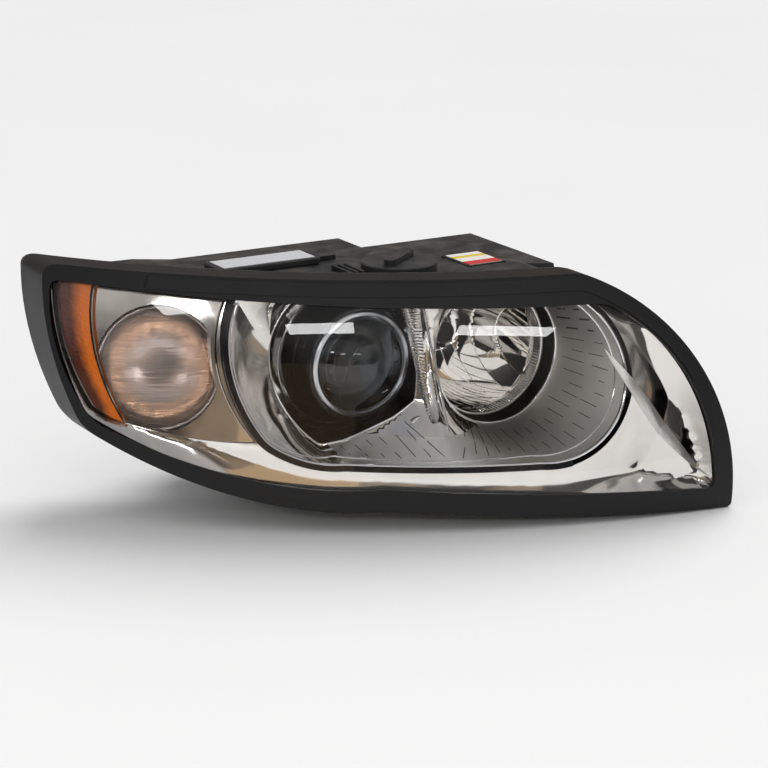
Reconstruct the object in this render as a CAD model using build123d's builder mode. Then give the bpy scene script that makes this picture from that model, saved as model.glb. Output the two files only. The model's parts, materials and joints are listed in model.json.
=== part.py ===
"""Right-hand car headlight: a lens-type low beam, a reflector high beam, a turn signal and an amber
side marker in one sealed housing, behind a clear cover with a black frame.

Millimetres. +Z is up, -Y is the way the beams point, and +X is towards the middle of the car.
The origin is the centre of the inner fixing hole, on the top of its tab.
"""

import os
from math import cos, radians, sin

from build123d import *

# ---------------------------------------------------------------- cover and frame
FACE_WIDTH = 423.0  # clear cover with its black frame, seen from straight ahead
FACE_HEIGHT = 176.0
DRAWN_WIDTH, DRAWN_HEIGHT = 423.0, 176.0  # the size at which the places below are given
WIDE, TALL = FACE_WIDTH / DRAWN_WIDTH, FACE_HEIGHT / DRAWN_HEIGHT
FACE_SWEEP = 28.0  # degrees that the face turns back towards the outer end
FACE_RAKE = 15.0  # degrees that the face leans back at the top
FACE_RADIUS = 650.0 * WIDE  # the cover is a piece of a sphere
COVER_WALL = 3.0
COVER_EDGE = 15.0  # how deep the cover's edge reaches
SEAL_DEPTH = 3.0
FRAME_PROUD = 2.2  # front of the frame over the cover
FRAME_SKIRT = 2.8
FRAME_FIT = 0.3  # gap between the frame's skirt and the cover
TRIM_RISE = 1.6  # raised strip along the top of the frame
TRIM_LEFT, TRIM_FOOT = -132.0 * WIDE, -12.0 * TALL
TRIM_SIDES = (1.2, 11.0)  # how far inside the face's outline the strip starts and ends

# ---------------------------------------------------------------- housing
HOUSING_WALL = 2.6
FLANGE = 3.5
TUB_INSET = 7.0  # side walls of the housing, inside the face's outline
TUB_DEPTH = 96.0 * WIDE  # back of the wide front part, behind the face's centre
LOW_BOX = (-75.0 * WIDE, 68.0 * WIDE, -70.0 * TALL, 60.0 * TALL)  # left, right, bottom, top
LOW_REAR = 188.0 * WIDE
WALL_Y = LOW_REAR - HOUSING_WALL  # inside of the rear wall
HIGH_BOX = (60.0 * WIDE, 165.0 * WIDE, -58.0 * TALL, 60.0 * TALL)
HIGH_REAR = 152.0 * WIDE
LOW_PORT = 38.0  # radii of the service openings
HIGH_PORT = 26.0
TOP_PORT = 20.5
PORT_RISE = 9.0  # how far a rear opening's collar stands out
TOP_RISE = 3.6
COLLAR_WALL = 3.0
CAP_GAP = 0.5  # between a twist cap and its collar
CAP_WALL = 2.2
SEAL = 1.4
GRIP_WIDTH, GRIP_HEIGHT = 9.0, 4.5  # the bar across a twist cap
TOP_CAP_X, TOP_CAP_Y, TOP_CAP_Z = 50.5 * WIDE, 66.0, 62.4 * TALL
ROOF = 58.0 * TALL  # inside the roof, where what stands on it begins
BOX_LEFT, BOX_RIGHT, BOX_FRONT, BOX_BACK = -72.0 * WIDE, 10.0 * WIDE, 108.0, 138.0  # control unit
BOX_PAD, BOX_TOP = 64.2 * TALL, 68.0 * TALL
LABEL_LEFT, LABEL_RIGHT, LABEL_FRONT, LABEL_BACK = 101.0 * WIDE, 129.0 * WIDE, 50.0, 84.0
LABEL_PAD = 63.2 * TALL
LABEL = 0.4
PAD_EDGE = 2.0  # how far a pad and what lies on it differ at the edges
LABEL_MARGIN = 4.0  # from the control unit's edges to its label
RIB_LEFT, RIB_FRONT, RIB_BACK, RIB_TOP = 8.0 * WIDE, 62.0, 90.0, 66.0 * TALL
RIB, RIB_PITCH = 2.5, 5.0
HOOK_LEFT, HOOK_RIGHT, HOOK_FRONT, HOOK_BACK = 12.0 * WIDE, 27.0 * WIDE, 118.0, 121.0
PLUG_X, PLUG_Z = -50.0 * WIDE, -44.0 * TALL  # connector socket on the rear wall
PLUG_W, PLUG_H = 30.0, 20.0
PLUG_WALL, PLUG_DEPTH, PLUG_FLOOR = 2.0, 14.0, 3.0
PIN_PITCH, PIN_LENGTH = 5.5, 8.0
VENTS = ((-60.0 * WIDE, LOW_REAR, 6.0), (148.0 * WIDE, HIGH_REAR, 40.0 * TALL))
VENT_RADIUS, VENT_LIP, VENT_RISE = 6.0, 7.0, 8.0

# ---------------------------------------------------------------- lamps
PROJECTOR_X, PROJECTOR_Z = 14.3 * WIDE, -1.6 * TALL  # low beam's axis
LENS_RADIUS = 35.5
LENS_SEAT = 61.0  # depth of the lens's flat back
LENS_EDGE = 3.0
LENS_DOME = 20.0
BARREL_RADIUS = 41.0
BARREL_WALL = 3.0
PLATE_FRONT = 104.0  # the carrier's plate, which both lamps bolt to
PLATE = 3.0
SHROUD_FRONT = 87.0
SHROUD_RADIUS = 58.0
SHROUD_BAND = 7.0
REFLECTOR_WALL = 1.8
LOW_APEX = 154.0
LOW_NECK = 12.0
SHUTTER_DROP = 30.0  # shutter's pin below the low beam's axis
PIN_RADIUS = 1.2
PIN_FIT = 0.05
CLIP_PIVOT = 22.0  # spring clip's hinge above the low beam's axis
CLIP_WIRE = 1.6

HIGH_X, HIGH_Z = 101.9 * WIDE, 4.0 * TALL  # high beam's axis
BOWL_RADIUS = 47.0
BOWL_FRONT = 22.0
BOWL_NECK = 12.0
BULB_TIP = 87.0
BULB_RADIUS = 6.0

TURN_X, TURN_Z = -116.6 * WIDE, -1.6 * TALL  # middle of the turn signal's rim
TURN_DEPTH = 30.04  # its rim, under the cover's crown
TURN_RADIUS = 44.0
TURN_BOWL = 36.0
TURN_NECK = 11.0
MARKER_X, MARKER_Z = -161.0 * WIDE, 5.0 * TALL
TURN_HOLE, MARKER_HOLE = 9.0, 7.0  # where the bulb sockets go in
SOCKET_FIT = 0.4

# ---------------------------------------------------------------- bezels
PLATE_DEPTH = 10.0  # front of the outer bezel, under the crown
BEZEL_WALL = 2.0
BEZEL_GAP = 0.6
TRAY_DEPTH = 34.0
STRIP = 3.4
STRIP_RIGHT, STRIP_TOP = 125.0 * WIDE, 52.0 * TALL
WEB_X = 36.0 * WIDE  # the web between the lamps starts here
TURN_PLATE = 12.0
TURN_BEHIND = 17.0  # from here back, the turn signal's tunnel may pass behind its neighbours
BOSS = 7.0
FIN_TOP, FIN_FOOT, FIN_WIDTH, FIN_RISE = (34.5, 50.0), (39.5, -46.0), 11.0, 8.0

# ---------------------------------------------------------------- aiming
PIVOT_X, PIVOT_Y, PIVOT_Z = 50.0 * WIDE, 122.0, 38.0 * TALL
PIVOT_BALL = 7.0
PIVOT_PIN = 2.0
LEVEL_ARM = 94.0 * TALL  # pivot down to the levelling rod's ball
SIDE_ARM = 88.0 * WIDE  # pivot across to the sideways rod's ball
ROD_BALL = 4.5
BALL_PLAY = 0.4
ROD_RADIUS = 2.5
AIM_GAP = 8.0  # room for the aimed lamps to tilt
ROD_END = LOW_REAR - 16.0
BORE_END = LOW_REAR - 10.0
MOTOR_FRONT = LOW_REAR - 28.0
MOTOR_WIDTH, MOTOR_HEIGHT = 26.0, 20.0
MOTOR_NECK, SLEEVE_NECK = 6.0, 5.0
KNOB_STEM, KNOB_RADIUS, KNOB = 2.0, 8.0, 9.0
STEM_FRONT = LOW_REAR - 7.0
KNOB_FRONT = LOW_REAR + 3.4

# ---------------------------------------------------------------- fixings
HOLE_RADIUS = 4.25  # fixing holes, for M8 screws
BUSH_WALL = 1.5
TAB = 6.0
TAB_X, TAB_Y, TAB_Z = 186.0 * WIDE, 96.0, -30.0 * TALL  # inner fixing hole, from the face's centre
OUTER_TAB_X, OUTER_TAB_Y, OUTER_TAB_Z = -90.0 * WIDE, LOW_REAR - 4.0, 54.0 * TALL
TAB_EDGE = 5.0  # round the bush
DOWEL_RADIUS = 5.0  # locating pin underneath
DOWEL_LENGTH = 14.0
DOWEL_X, DOWEL_Y = -20.0 * WIDE, 150.0
SCREW_RADIUS = 2.0
HEAD_RADIUS = 3.8
HEAD = 2.4
SHANK = 6.0  # the bezel screws
HEAD_LIFT = 3.4  # a head stands clear of the sloping face that it clamps

# ---------------------------------------------------------------- frames of reference
CENTRE = Vector(-TAB_X, -TAB_Y, -TAB_Z)  # centre of the face
SWEEP, RAKE = radians(FACE_SWEEP), radians(FACE_RAKE)
OUTWARD = Vector(-sin(SWEEP) * cos(RAKE), -cos(SWEEP) * cos(RAKE), sin(RAKE))
FACE = Plane(origin=CENTRE, x_dir=(cos(SWEEP), -sin(SWEEP), 0), z_dir=OUTWARD)
FRONT = Plane(origin=CENTRE, x_dir=(1, 0, 0), z_dir=(0, -1, 0))
CROWN_CENTRE = CENTRE - OUTWARD * FACE_RADIUS
REACH = 260.0  # more than the headlight's depth either way
CROWN_ANGLE = 28.0  # how far the crown's piece of sphere spreads, more than the face needs

LIP = FRAME_SKIRT + FRAME_FIT
SEAL_BACK = COVER_EDGE + SEAL_DEPTH
FLANGE_BACK = SEAL_BACK + FLANGE
TUB_INNER = TUB_INSET + HOUSING_WALL
TRAY_INSET = TUB_INNER + 0.6  # outer edge of the bezels, clear of the housing's walls


def spot(x, y, z):
    """A point given from the face's centre, along the car's axes."""
    return CENTRE + Vector(x, y, z)


def crown_y(x, z, depth):
    """How far back, from the face's centre, the surface this deep under the crown lies."""
    middle = CROWN_CENTRE - CENTRE
    across = (x - middle.X) ** 2 + (z - middle.Z) ** 2
    return middle.Y - ((FACE_RADIUS - depth) ** 2 - across) ** 0.5


def beam(x, z):
    """Profile plane of a lamp: sketch x is the radius from its axis, sketch y the depth."""
    return Plane(origin=spot(x, 0, z), x_dir=(1, 0, 0), z_dir=(0, 0, 1))


def upright(x, y, z):
    """Profile plane about a vertical axis: sketch x is the radius, sketch y the height."""
    return Plane(origin=spot(x, y, z), x_dir=(1, 0, 0), z_dir=(0, -1, 0))


PROJECTOR = beam(PROJECTOR_X, PROJECTOR_Z)
HIGH = beam(HIGH_X, HIGH_Z)
TURN_AT = Vector(TURN_X, crown_y(TURN_X, TURN_Z, TURN_DEPTH), TURN_Z)
TURN = Plane(origin=CENTRE + TURN_AT, x_dir=FACE.x_dir, z_dir=FACE.x_dir.cross(-OUTWARD))
TOP_CAP = upright(TOP_CAP_X, TOP_CAP_Y, TOP_CAP_Z)
LEVEL = beam(PIVOT_X, PIVOT_Z - LEVEL_ARM)
SIDE = beam(PIVOT_X - SIDE_ARM, PIVOT_Z)


# ---------------------------------------------------------------- outlines, seen from straight ahead
def outline(arcs, corners):
    """A closed outline of three-point arcs, with (corner number, radius) fillets."""
    scaled = [[(x * WIDE, z * TALL) for x, z in arc] for arc in arcs]
    with BuildSketch() as shape:
        with BuildLine():
            for arc in scaled:
                ThreePointArc(*arc)
        make_face()
        for number, radius in corners:
            corner = shape.vertices().sort_by_distance((*scaled[number][0], 0))[0]
            fillet(corner, radius)
    return shape.sketch


FACE_OUTLINE = outline(
    [
        [(-180, 72.4), (-36.6, 70), (142.1, 69.7)],
        [(142.1, 69.7), (218.9, 5), (237.6, -103.4)],
        [(237.6, -103.4), (102.7, -96.5), (-8.1, -88.2)],
        [(-8.1, -88.2), (-107.9, -75), (-176.5, -37.7)],
        [(-176.5, -37.7), (-185.2, 5.9), (-180, 72.4)],
    ],
    [(0, 10), (1, 26), (2, 3), (4, 24)],
)
WINDOW = outline(
    [
        [(-178, 61.9), (-35.4, 53), (156.3, 48.4)],
        [(156.3, 48.4), (207.9, -1.8), (224.5, -87.9)],
        [(224.5, -87.9), (94, -80), (-7.1, -72.4)],
        [(-7.1, -72.4), (-106.9, -61.6), (-170.2, -33)],
        [(-170.2, -33), (-181.1, 0.9), (-178, 61.9)],
    ],
    [(0, 4), (1, 26), (2, 6), (4, 20)],
)
OVAL = outline(
    [
        [(-73.6, 54.5), (31.8, 56), (142.4, 51)],
        [(142.4, 51), (169.8, -7.4), (101.1, -61.8)],
        [(101.1, -61.8), (35.4, -60.9), (-26.5, -58.5)],
        [(-26.5, -58.5), (-53.3, -55), (-70.6, -44.5)],
        [(-70.6, -44.5), (-85, 8.9), (-73.6, 54.5)],
    ],
    [(1, 12), (4, 12)],
)
TURN_WINDOW = outline(
    [
        [(-150, 57.6), (-114.3, 56.2), (-79, 54.6)],
        [(-79, 54.6), (-92, 9.1), (-77, -44)],
        [(-77, -44), (-116, -43), (-147.6, -35.7)],
        [(-147.6, -35.7), (-157, 11.9), (-150, 57.6)],
    ],
    [],
)
MARKER = outline(
    [
        [(-169, 60.4), (-161.8, 60.3), (-153, 59.6)],
        [(-153, 59.6), (-160, 12.8), (-150.5, -34)],
        [(-150.5, -34), (-157.9, -30.3), (-164.6, -24.8)],
        [(-164.6, -24.8), (-173.4, 14.6), (-169, 60.4)],
    ],
    [],
)


SHORT = 1.5  # a stretch of an outline that is as good as straight


def grown(shape, amount):
    """An outline moved outwards or, below zero, inwards; every stretch of it stays an arc."""
    with BuildSketch() as moved:
        add(shape)
        offset(amount=amount)
    with BuildSketch() as result:
        with BuildLine():
            for edge in moved.edges():
                if edge.length < SHORT:
                    Line(edge @ 0, edge @ 1)
                else:
                    ThreePointArc(edge @ 0, edge @ 0.5, edge @ 1)
        make_face()
    return result.sketch


def between(outer, inner):
    with BuildSketch() as result:
        add(outer)
        add(inner, mode=Mode.SUBTRACT)
    return result.sketch


RIM_LINE = grown(FACE_OUTLINE, -LIP)
RIM_RING = between(RIM_LINE, grown(FACE_OUTLINE, -LIP - COVER_WALL))
TRAY_LINE = grown(FACE_OUTLINE, -TRAY_INSET)


# ---------------------------------------------------------------- shared shapes
def crown(front, back):
    """A round piece of the cover's crown, between two depths under it, wider than the face."""
    profile_plane = Plane(origin=CROWN_CENTRE, x_dir=FACE.x_dir, z_dir=FACE.x_dir.cross(OUTWARD))
    with BuildSketch(profile_plane) as profile:
        with BuildLine():
            outer = CenterArc((0, 0), FACE_RADIUS - front, 90 - CROWN_ANGLE, CROWN_ANGLE)
            inner = CenterArc((0, 0), FACE_RADIUS - back, 90 - CROWN_ANGLE, CROWN_ANGLE)
            Line(outer @ 0, inner @ 0)
            Line(outer @ 1, inner @ 1)
        make_face()
    revolve(profile.sketch, Axis(profile_plane.origin, profile_plane.y_dir))


def bar_through(shape, mode):
    """An outline drawn straight back through the whole headlight."""
    with BuildSketch(FRONT.offset(REACH)) as section:
        add(shape)
    extrude(section.sketch, amount=-2 * REACH, mode=mode)


def crowned(shape, front, back, mode=Mode.ADD):
    """An outline as a solid that follows the cover's crown, between two depths under it."""
    with BuildPart() as slab:
        crown(front, back)
        bar_through(shape, Mode.INTERSECT)
    add(slab.part, mode=mode)


def column(shape, front, floor, rear, mode=Mode.ADD):
    """An outline as a solid from under the crown straight back to the tub's floor or a rear wall."""
    with BuildPart() as bar:
        crown(front, FACE_RADIUS / 2)
        bar_through(shape, Mode.INTERSECT)
        split(bisect_by=FACE.offset(-floor), keep=Keep.TOP)
        split(bisect_by=FRONT.offset(-rear), keep=Keep.TOP)
    add(bar.part, mode=mode)


def rear_box(sides, floor, rear, wall=0.0, mode=Mode.ADD):
    """One of the rear boxes, or its inside, from the tub's floor to its rear wall."""
    left, right, bottom, top = sides[0] + wall, sides[1] - wall, sides[2] + wall, sides[3] - wall
    back = rear - wall
    with BuildPart() as room:
        with Locations(spot((left + right) / 2, (back - REACH) / 2, (bottom + top) / 2)):
            Box(right - left, back + REACH, top - bottom)
        split(bisect_by=FACE.offset(-floor), keep=Keep.BOTTOM)
    add(room.part, mode=mode)


def spun(plane, angle):
    """The same profile plane, turned about its depth axis."""
    across = plane.x_dir.rotate(Axis((0, 0, 0), plane.y_dir), angle)
    return Plane(origin=plane.origin, x_dir=across, z_dir=across.cross(plane.y_dir))


def turned(plane, points, mode=Mode.ADD, angle=360.0, start=0.0):
    """A closed profile of (radius, depth) points turned about the plane's depth axis."""
    with BuildSketch(spun(plane, start)) as profile:
        with BuildLine():
            Polyline(*points, close=True)
        make_face()
    revolve(profile.sketch, Axis(plane.origin, plane.y_dir), revolution_arc=angle, mode=mode)


def ring(plane, inner, outer, start, end, mode=Mode.ADD):
    turned(plane, [(inner, start), (outer, start), (outer, end), (inner, end)], mode)


def rod(plane, radius, start, end, mode=Mode.ADD):
    ring(plane, 0, radius, start, end, mode)


def bowl(plane, rim, front, neck, apex, wall):
    """A reflector: a rounded shell from its rim back to the neck that holds the bulb."""
    middle = (neck + 0.72 * (rim - neck), (front + apex) / 2)
    with BuildSketch(plane) as profile:
        with BuildLine():
            inner = ThreePointArc((rim, front), middle, (neck, apex))
            outer = ThreePointArc(
                (rim + wall, front), (middle[0] + wall, middle[1] + wall), (neck + wall, apex + wall)
            )
            Line(inner @ 0, outer @ 0)
            Line(inner @ 1, outer @ 1)
        make_face()
    revolve(profile.sketch, Axis(plane.origin, plane.y_dir))


def block(low, high, mode=Mode.ADD):
    """A box between two corners given from the face's centre."""
    with Locations(spot(*[(a + b) / 2 for a, b in zip(low, high)])):
        Box(*[b - a for a, b in zip(low, high)], mode=mode)


def ball(x, y, z, radius, mode=Mode.ADD):
    with Locations(spot(x, y, z)):
        Sphere(radius, mode=mode)


def screw(plane, start, length):
    """A pan-head screw: its head's underside at start, its shank going deeper."""
    turned(
        plane,
        [
            (0, start - HEAD),
            (HEAD_RADIUS - 0.8, start - HEAD),
            (HEAD_RADIUS, start - HEAD + 0.8),
            (HEAD_RADIUS, start),
            (SCREW_RADIUS, start),
            (SCREW_RADIUS, start + length),
            (0, start + length),
        ],
    )


def keep(part, name):
    part.label = name
    export_step(part, f"parts/{name}.step")


os.makedirs("parts", exist_ok=True)

# ---------------------------------------------------------------- clear cover, frame, seal
with BuildPart() as outer_lens:
    crowned(RIM_LINE, 0, COVER_WALL)
    crowned(RIM_RING, COVER_WALL, COVER_EDGE)
keep(outer_lens.part, "outer_lens")

with BuildPart() as lens_seal:
    crowned(RIM_RING, COVER_EDGE, SEAL_BACK)
keep(lens_seal.part, "lens_seal")

with BuildPart() as lens_frame:
    crowned(between(FACE_OUTLINE, WINDOW), -FRAME_PROUD, 0)
    crowned(between(FACE_OUTLINE, grown(FACE_OUTLINE, -FRAME_SKIRT)), 0, SEAL_BACK)
keep(lens_frame.part, "lens_frame")

# strip that stands on the frame along its top edge and down its inner end
with BuildSketch() as trim_band:
    add(grown(FACE_OUTLINE, -TRIM_SIDES[0]))
    add(grown(FACE_OUTLINE, -TRIM_SIDES[1]), mode=Mode.SUBTRACT)
    with Locations((TRIM_LEFT + REACH / 2, TRIM_FOOT + REACH / 2)):
        Rectangle(REACH, REACH, mode=Mode.INTERSECT)
with BuildPart() as upper_trim:
    crowned(trim_band.sketch, -FRAME_PROUD - TRIM_RISE, -FRAME_PROUD)
keep(upper_trim.part, "upper_trim")


# ---------------------------------------------------------------- twist caps and their collars
def collar(plane, port, rise, mode=Mode.ADD):
    """Round mouth of a service opening, with three short lugs outside."""
    outer = port + COLLAR_WALL
    ring(plane, port, outer, -HOUSING_WALL, rise)
    for turn in range(3):
        turned(
            plane,
            [
                (outer - 0.5, rise * 0.6),
                (outer + 1.4, rise * 0.6),
                (outer + 1.4, rise * 0.8),
                (outer - 0.5, rise * 0.8),
            ],
            angle=24,
            start=turn * 120,
        )


def twist_cap(plane, port, rise, seal):
    """A cap over a collar: disc, skirt, three inner lugs and a bar to grip."""
    inner = port + COLLAR_WALL + 1.4 + CAP_GAP
    outer = inner + CAP_WALL
    under = rise + seal
    turned(
        plane,
        [
            (0, under),
            (inner, under),
            (inner, rise * 0.2),
            (outer, rise * 0.2),
            (outer, under + CAP_WALL * 0.6),
            (outer - 1, under + CAP_WALL),
            (0, under + CAP_WALL),
        ],
    )
    for turn in range(3):
        turned(
            plane,
            [
                (inner - 1.2, rise * 0.25),
                (inner + 0.5, rise * 0.25),
                (inner + 0.5, rise * 0.5),
                (inner - 1.2, rise * 0.5),
            ],
            angle=24,
            start=turn * 120 + 40,
        )


def grip_bar(plane, port, rise, seal, angle, height):
    """The raised bar across a twist cap."""
    foot = plane.origin + plane.y_dir * (rise + seal + CAP_WALL / 2)
    with BuildSketch(Plane(origin=foot, x_dir=spun(plane, angle).x_dir, z_dir=plane.y_dir)) as bar:
        SlotOverall(2 * port + 2, GRIP_WIDTH)
    extrude(bar.sketch, amount=height + CAP_WALL / 2)


# ---------------------------------------------------------------- housing
LOW_MOUTH = Plane(origin=spot(PROJECTOR_X, LOW_REAR, PROJECTOR_Z), x_dir=(1, 0, 0), z_dir=(0, 0, 1))
HIGH_MOUTH = Plane(origin=spot(HIGH_X, HIGH_REAR, HIGH_Z), x_dir=(1, 0, 0), z_dir=(0, 0, 1))
TURN_BACK = TUB_DEPTH + TURN_AT.dot(OUTWARD)  # from the turn signal's rim to the wall
MARKER_AXIS = beam(MARKER_X, MARKER_Z)
BUSH_OUTER = HOLE_RADIUS + BUSH_WALL


def tab(x, y, z, toward, bore):
    """A flat fixing tab with a round end, reaching the housing's side at x = toward."""
    reach = bore + TAB_EDGE
    block((min(x, toward), y - reach, z - TAB), (max(x, toward), y + reach, z))
    rod(upright(x, y, z), reach, -TAB, 0)
    rod(upright(x, y, z), bore, -TAB, 0, Mode.SUBTRACT)


with BuildPart() as housing:
    column(grown(FACE_OUTLINE, -TUB_INSET), SEAL_BACK, TUB_DEPTH, LOW_REAR)
    rear_box(LOW_BOX, TUB_DEPTH - 6, LOW_REAR)
    rear_box(HIGH_BOX, TUB_DEPTH - 6, HIGH_REAR)
    block(
        (BOX_LEFT + PAD_EDGE, BOX_FRONT + PAD_EDGE, ROOF),
        (BOX_RIGHT - PAD_EDGE, BOX_BACK - PAD_EDGE, BOX_PAD),
    )
    block(
        (LABEL_LEFT - PAD_EDGE, LABEL_FRONT - PAD_EDGE, ROOF),
        (LABEL_RIGHT + PAD_EDGE, LABEL_BACK + PAD_EDGE, LABEL_PAD),
    )
    for rib in range(3):
        left = RIB_LEFT + RIB_PITCH * rib
        block((left, RIB_FRONT, ROOF), (left + RIB, RIB_BACK, RIB_TOP))
    block((HOOK_LEFT, HOOK_FRONT, ROOF - 2), (HOOK_RIGHT, HOOK_BACK, RIB_TOP))
    tab(TAB_X, TAB_Y, TAB_Z, HIGH_BOX[1] - 1, BUSH_OUTER)
    tab(OUTER_TAB_X, OUTER_TAB_Y, OUTER_TAB_Z, LOW_BOX[0] + 1, BUSH_OUTER)
    rod(upright(DOWEL_X, DOWEL_Y, LOW_BOX[2]), DOWEL_RADIUS + 3, -2, 2)
    rod(upright(DOWEL_X, DOWEL_Y, LOW_BOX[2]), DOWEL_RADIUS, -DOWEL_LENGTH, 2)
    # the inside is cleared after everything that stands on the outside
    column(grown(FACE_OUTLINE, -TUB_INNER), 0, TUB_DEPTH - HOUSING_WALL, WALL_Y, Mode.SUBTRACT)
    rear_box(LOW_BOX, TUB_DEPTH - HOUSING_WALL - 1, LOW_REAR, HOUSING_WALL, Mode.SUBTRACT)
    rear_box(HIGH_BOX, TUB_DEPTH - HOUSING_WALL - 1, HIGH_REAR, HOUSING_WALL, Mode.SUBTRACT)
    crowned(
        between(grown(FACE_OUTLINE, -0.5), grown(FACE_OUTLINE, -TUB_INNER)), SEAL_BACK, FLANGE_BACK
    )
    for mouth, port, rise in (
        (LOW_MOUTH, LOW_PORT, PORT_RISE),
        (HIGH_MOUTH, HIGH_PORT, PORT_RISE),
        (TOP_CAP, TOP_PORT, TOP_RISE),
    ):
        collar(mouth, port, rise)
        rod(mouth, port, -2 * HOUSING_WALL, rise, Mode.SUBTRACT)
    rod(TURN, TURN_HOLE, TURN_BACK - 2 * HOUSING_WALL, TURN_BACK + 1, Mode.SUBTRACT)
    rod(MARKER_AXIS, MARKER_HOLE, WALL_Y - 1, LOW_REAR, Mode.SUBTRACT)
    rod(LEVEL, MOTOR_NECK, WALL_Y, LOW_REAR, Mode.SUBTRACT)
    rod(SIDE, SLEEVE_NECK, WALL_Y, LOW_REAR, Mode.SUBTRACT)
    block(
        (PLUG_X - PLUG_W / 2 + PLUG_FLOOR, WALL_Y, PLUG_Z - PLUG_H / 2 + PLUG_FLOOR),
        (PLUG_X + PLUG_W / 2 - PLUG_FLOOR, LOW_REAR, PLUG_Z + PLUG_H / 2 - PLUG_FLOOR),
        Mode.SUBTRACT,
    )
keep(housing.part, "housing")

# ---------------------------------------------------------------- bezels inside the cover
TURN_OUTER = TURN_RADIUS + REFLECTOR_WALL
TURN_TUNNEL = TURN_OUTER + 2.6
PROJECTOR_HOLE = SHROUD_RADIUS + AIM_GAP + 1
HIGH_HOLE = BOWL_RADIUS + REFLECTOR_WALL + AIM_GAP
# the first of these shows between the lamps
BEZEL_SCREWS = [(x * WIDE, z * TALL) for x, z in ((34, -38), (-58, -46), (62, -52), (-42, 47))]

with BuildSketch() as projector_side:
    with Locations((PROJECTOR_X, PROJECTOR_Z)):
        Circle(PROJECTOR_HOLE)
    with Locations((WEB_X + REACH / 2, 0)):
        Rectangle(REACH, REACH, mode=Mode.SUBTRACT)
    with Locations(BEZEL_SCREWS[0]):
        Circle(BOSS, mode=Mode.SUBTRACT)
with BuildSketch() as lamp_holes:
    add(projector_side.sketch)
    with Locations((HIGH_X, HIGH_Z)):
        Circle(HIGH_HOLE)

with BuildPart() as main_bezel:
    crowned(between(OVAL, grown(OVAL, -BEZEL_WALL)), PLATE_DEPTH, TRAY_DEPTH + BEZEL_WALL)
    crowned(between(OVAL, lamp_holes.sketch), TRAY_DEPTH, TRAY_DEPTH + BEZEL_WALL)
    rod(TURN, TURN_TUNNEL + BEZEL_GAP, -28, 60, Mode.SUBTRACT)
    rod(HIGH, HIGH_HOLE, BOWL_FRONT - AIM_GAP, LOW_REAR, Mode.SUBTRACT)
    for x, z in BEZEL_SCREWS:
        rod(beam(x, z), SCREW_RADIUS, crown_y(x, z, TRAY_DEPTH) - 8, LOW_REAR, Mode.SUBTRACT)
keep(main_bezel.part, "main_bezel")

with BuildSketch() as strip_line:
    add(between(grown(OVAL, BEZEL_GAP + STRIP), grown(OVAL, BEZEL_GAP)))
    with Locations((STRIP_RIGHT - REACH, STRIP_TOP - REACH)):
        Rectangle(2 * REACH, 2 * REACH, mode=Mode.INTERSECT)
with BuildPart() as divider_strip:
    crowned(strip_line.sketch, PLATE_DEPTH - 2, PLATE_DEPTH + 6)
keep(divider_strip.part, "divider_strip")

with BuildSketch() as outer_plate:
    add(TRAY_LINE)
    add(grown(OVAL, 2 * BEZEL_GAP + STRIP), mode=Mode.SUBTRACT)
    add(grown(TURN_WINDOW, BEZEL_GAP), mode=Mode.SUBTRACT)
    add(grown(MARKER, BEZEL_GAP), mode=Mode.SUBTRACT)
with BuildPart() as outer_bezel:
    crowned(outer_plate.sketch, PLATE_DEPTH, PLATE_DEPTH + BEZEL_WALL)
keep(outer_bezel.part, "outer_bezel")

with BuildPart() as amber_reflector:
    crowned(MARKER, PLATE_DEPTH - 4, PLATE_DEPTH - 1)
keep(amber_reflector.part, "amber_reflector")

with BuildPart() as turn_bezel:
    rod(TURN, TURN_TUNNEL, -60, 3)
    crowned(between(TRAY_LINE, grown(MARKER, BEZEL_GAP)), TURN_BEHIND, 80, Mode.INTERSECT)
    crowned(TURN_WINDOW, TURN_PLATE, TURN_BEHIND + 1)
    rod(TURN, TURN_OUTER + BEZEL_GAP, -60, 40, Mode.SUBTRACT)
keep(turn_bezel.part, "turn_bezel")

with BuildPart() as turn_reflector:
    bowl(TURN, TURN_RADIUS, 0, TURN_NECK, TURN_BOWL, REFLECTOR_WALL)
keep(turn_reflector.part, "turn_reflector")

with BuildPart() as turn_inner_lens:
    turned(
        TURN,
        [(0, -9), (30, -7.5), (TURN_OUTER, -3), (TURN_OUTER, 0), (TURN_RADIUS, 0), (30, -4.5), (0, -6)],
    )
keep(turn_inner_lens.part, "turn_inner_lens")

# the clear fin stands on the bezel's web
with BuildSketch() as fin_shape:
    with BuildLine():
        Polyline(
            (FIN_TOP[0] * WIDE, FIN_TOP[1] * TALL),
            (FIN_TOP[0] * WIDE + FIN_WIDTH, FIN_TOP[1] * TALL),
            (FIN_FOOT[0] * WIDE + FIN_WIDTH, FIN_FOOT[1] * TALL),
            (FIN_FOOT[0] * WIDE, FIN_FOOT[1] * TALL),
            close=True,
        )
    make_face()
with BuildPart() as bezel_fin:
    crowned(fin_shape.sketch, TRAY_DEPTH - FIN_RISE, TRAY_DEPTH)
keep(bezel_fin.part, "bezel_fin")


with BuildPart() as bezel_screws:
    for x, z in BEZEL_SCREWS:
        screw(beam(x, z), crown_y(x, z, TRAY_DEPTH) - HEAD_LIFT, SHANK)
keep(bezel_screws.part, "bezel_screws")

# ---------------------------------------------------------------- turn signal and marker bulbs
with BuildPart() as turn_bulb:
    rod(TURN, 6.5, TURN_BOWL - 4, TURN_BOWL + 2)
    ring(TURN, 0, 8.5, TURN_BOWL - 20, TURN_BOWL - 4)
    fillet(turn_bulb.faces().sort_by(Axis(TURN.origin, TURN.y_dir))[0].edges(), 8)
keep(turn_bulb.part, "turn_bulb")

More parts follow.
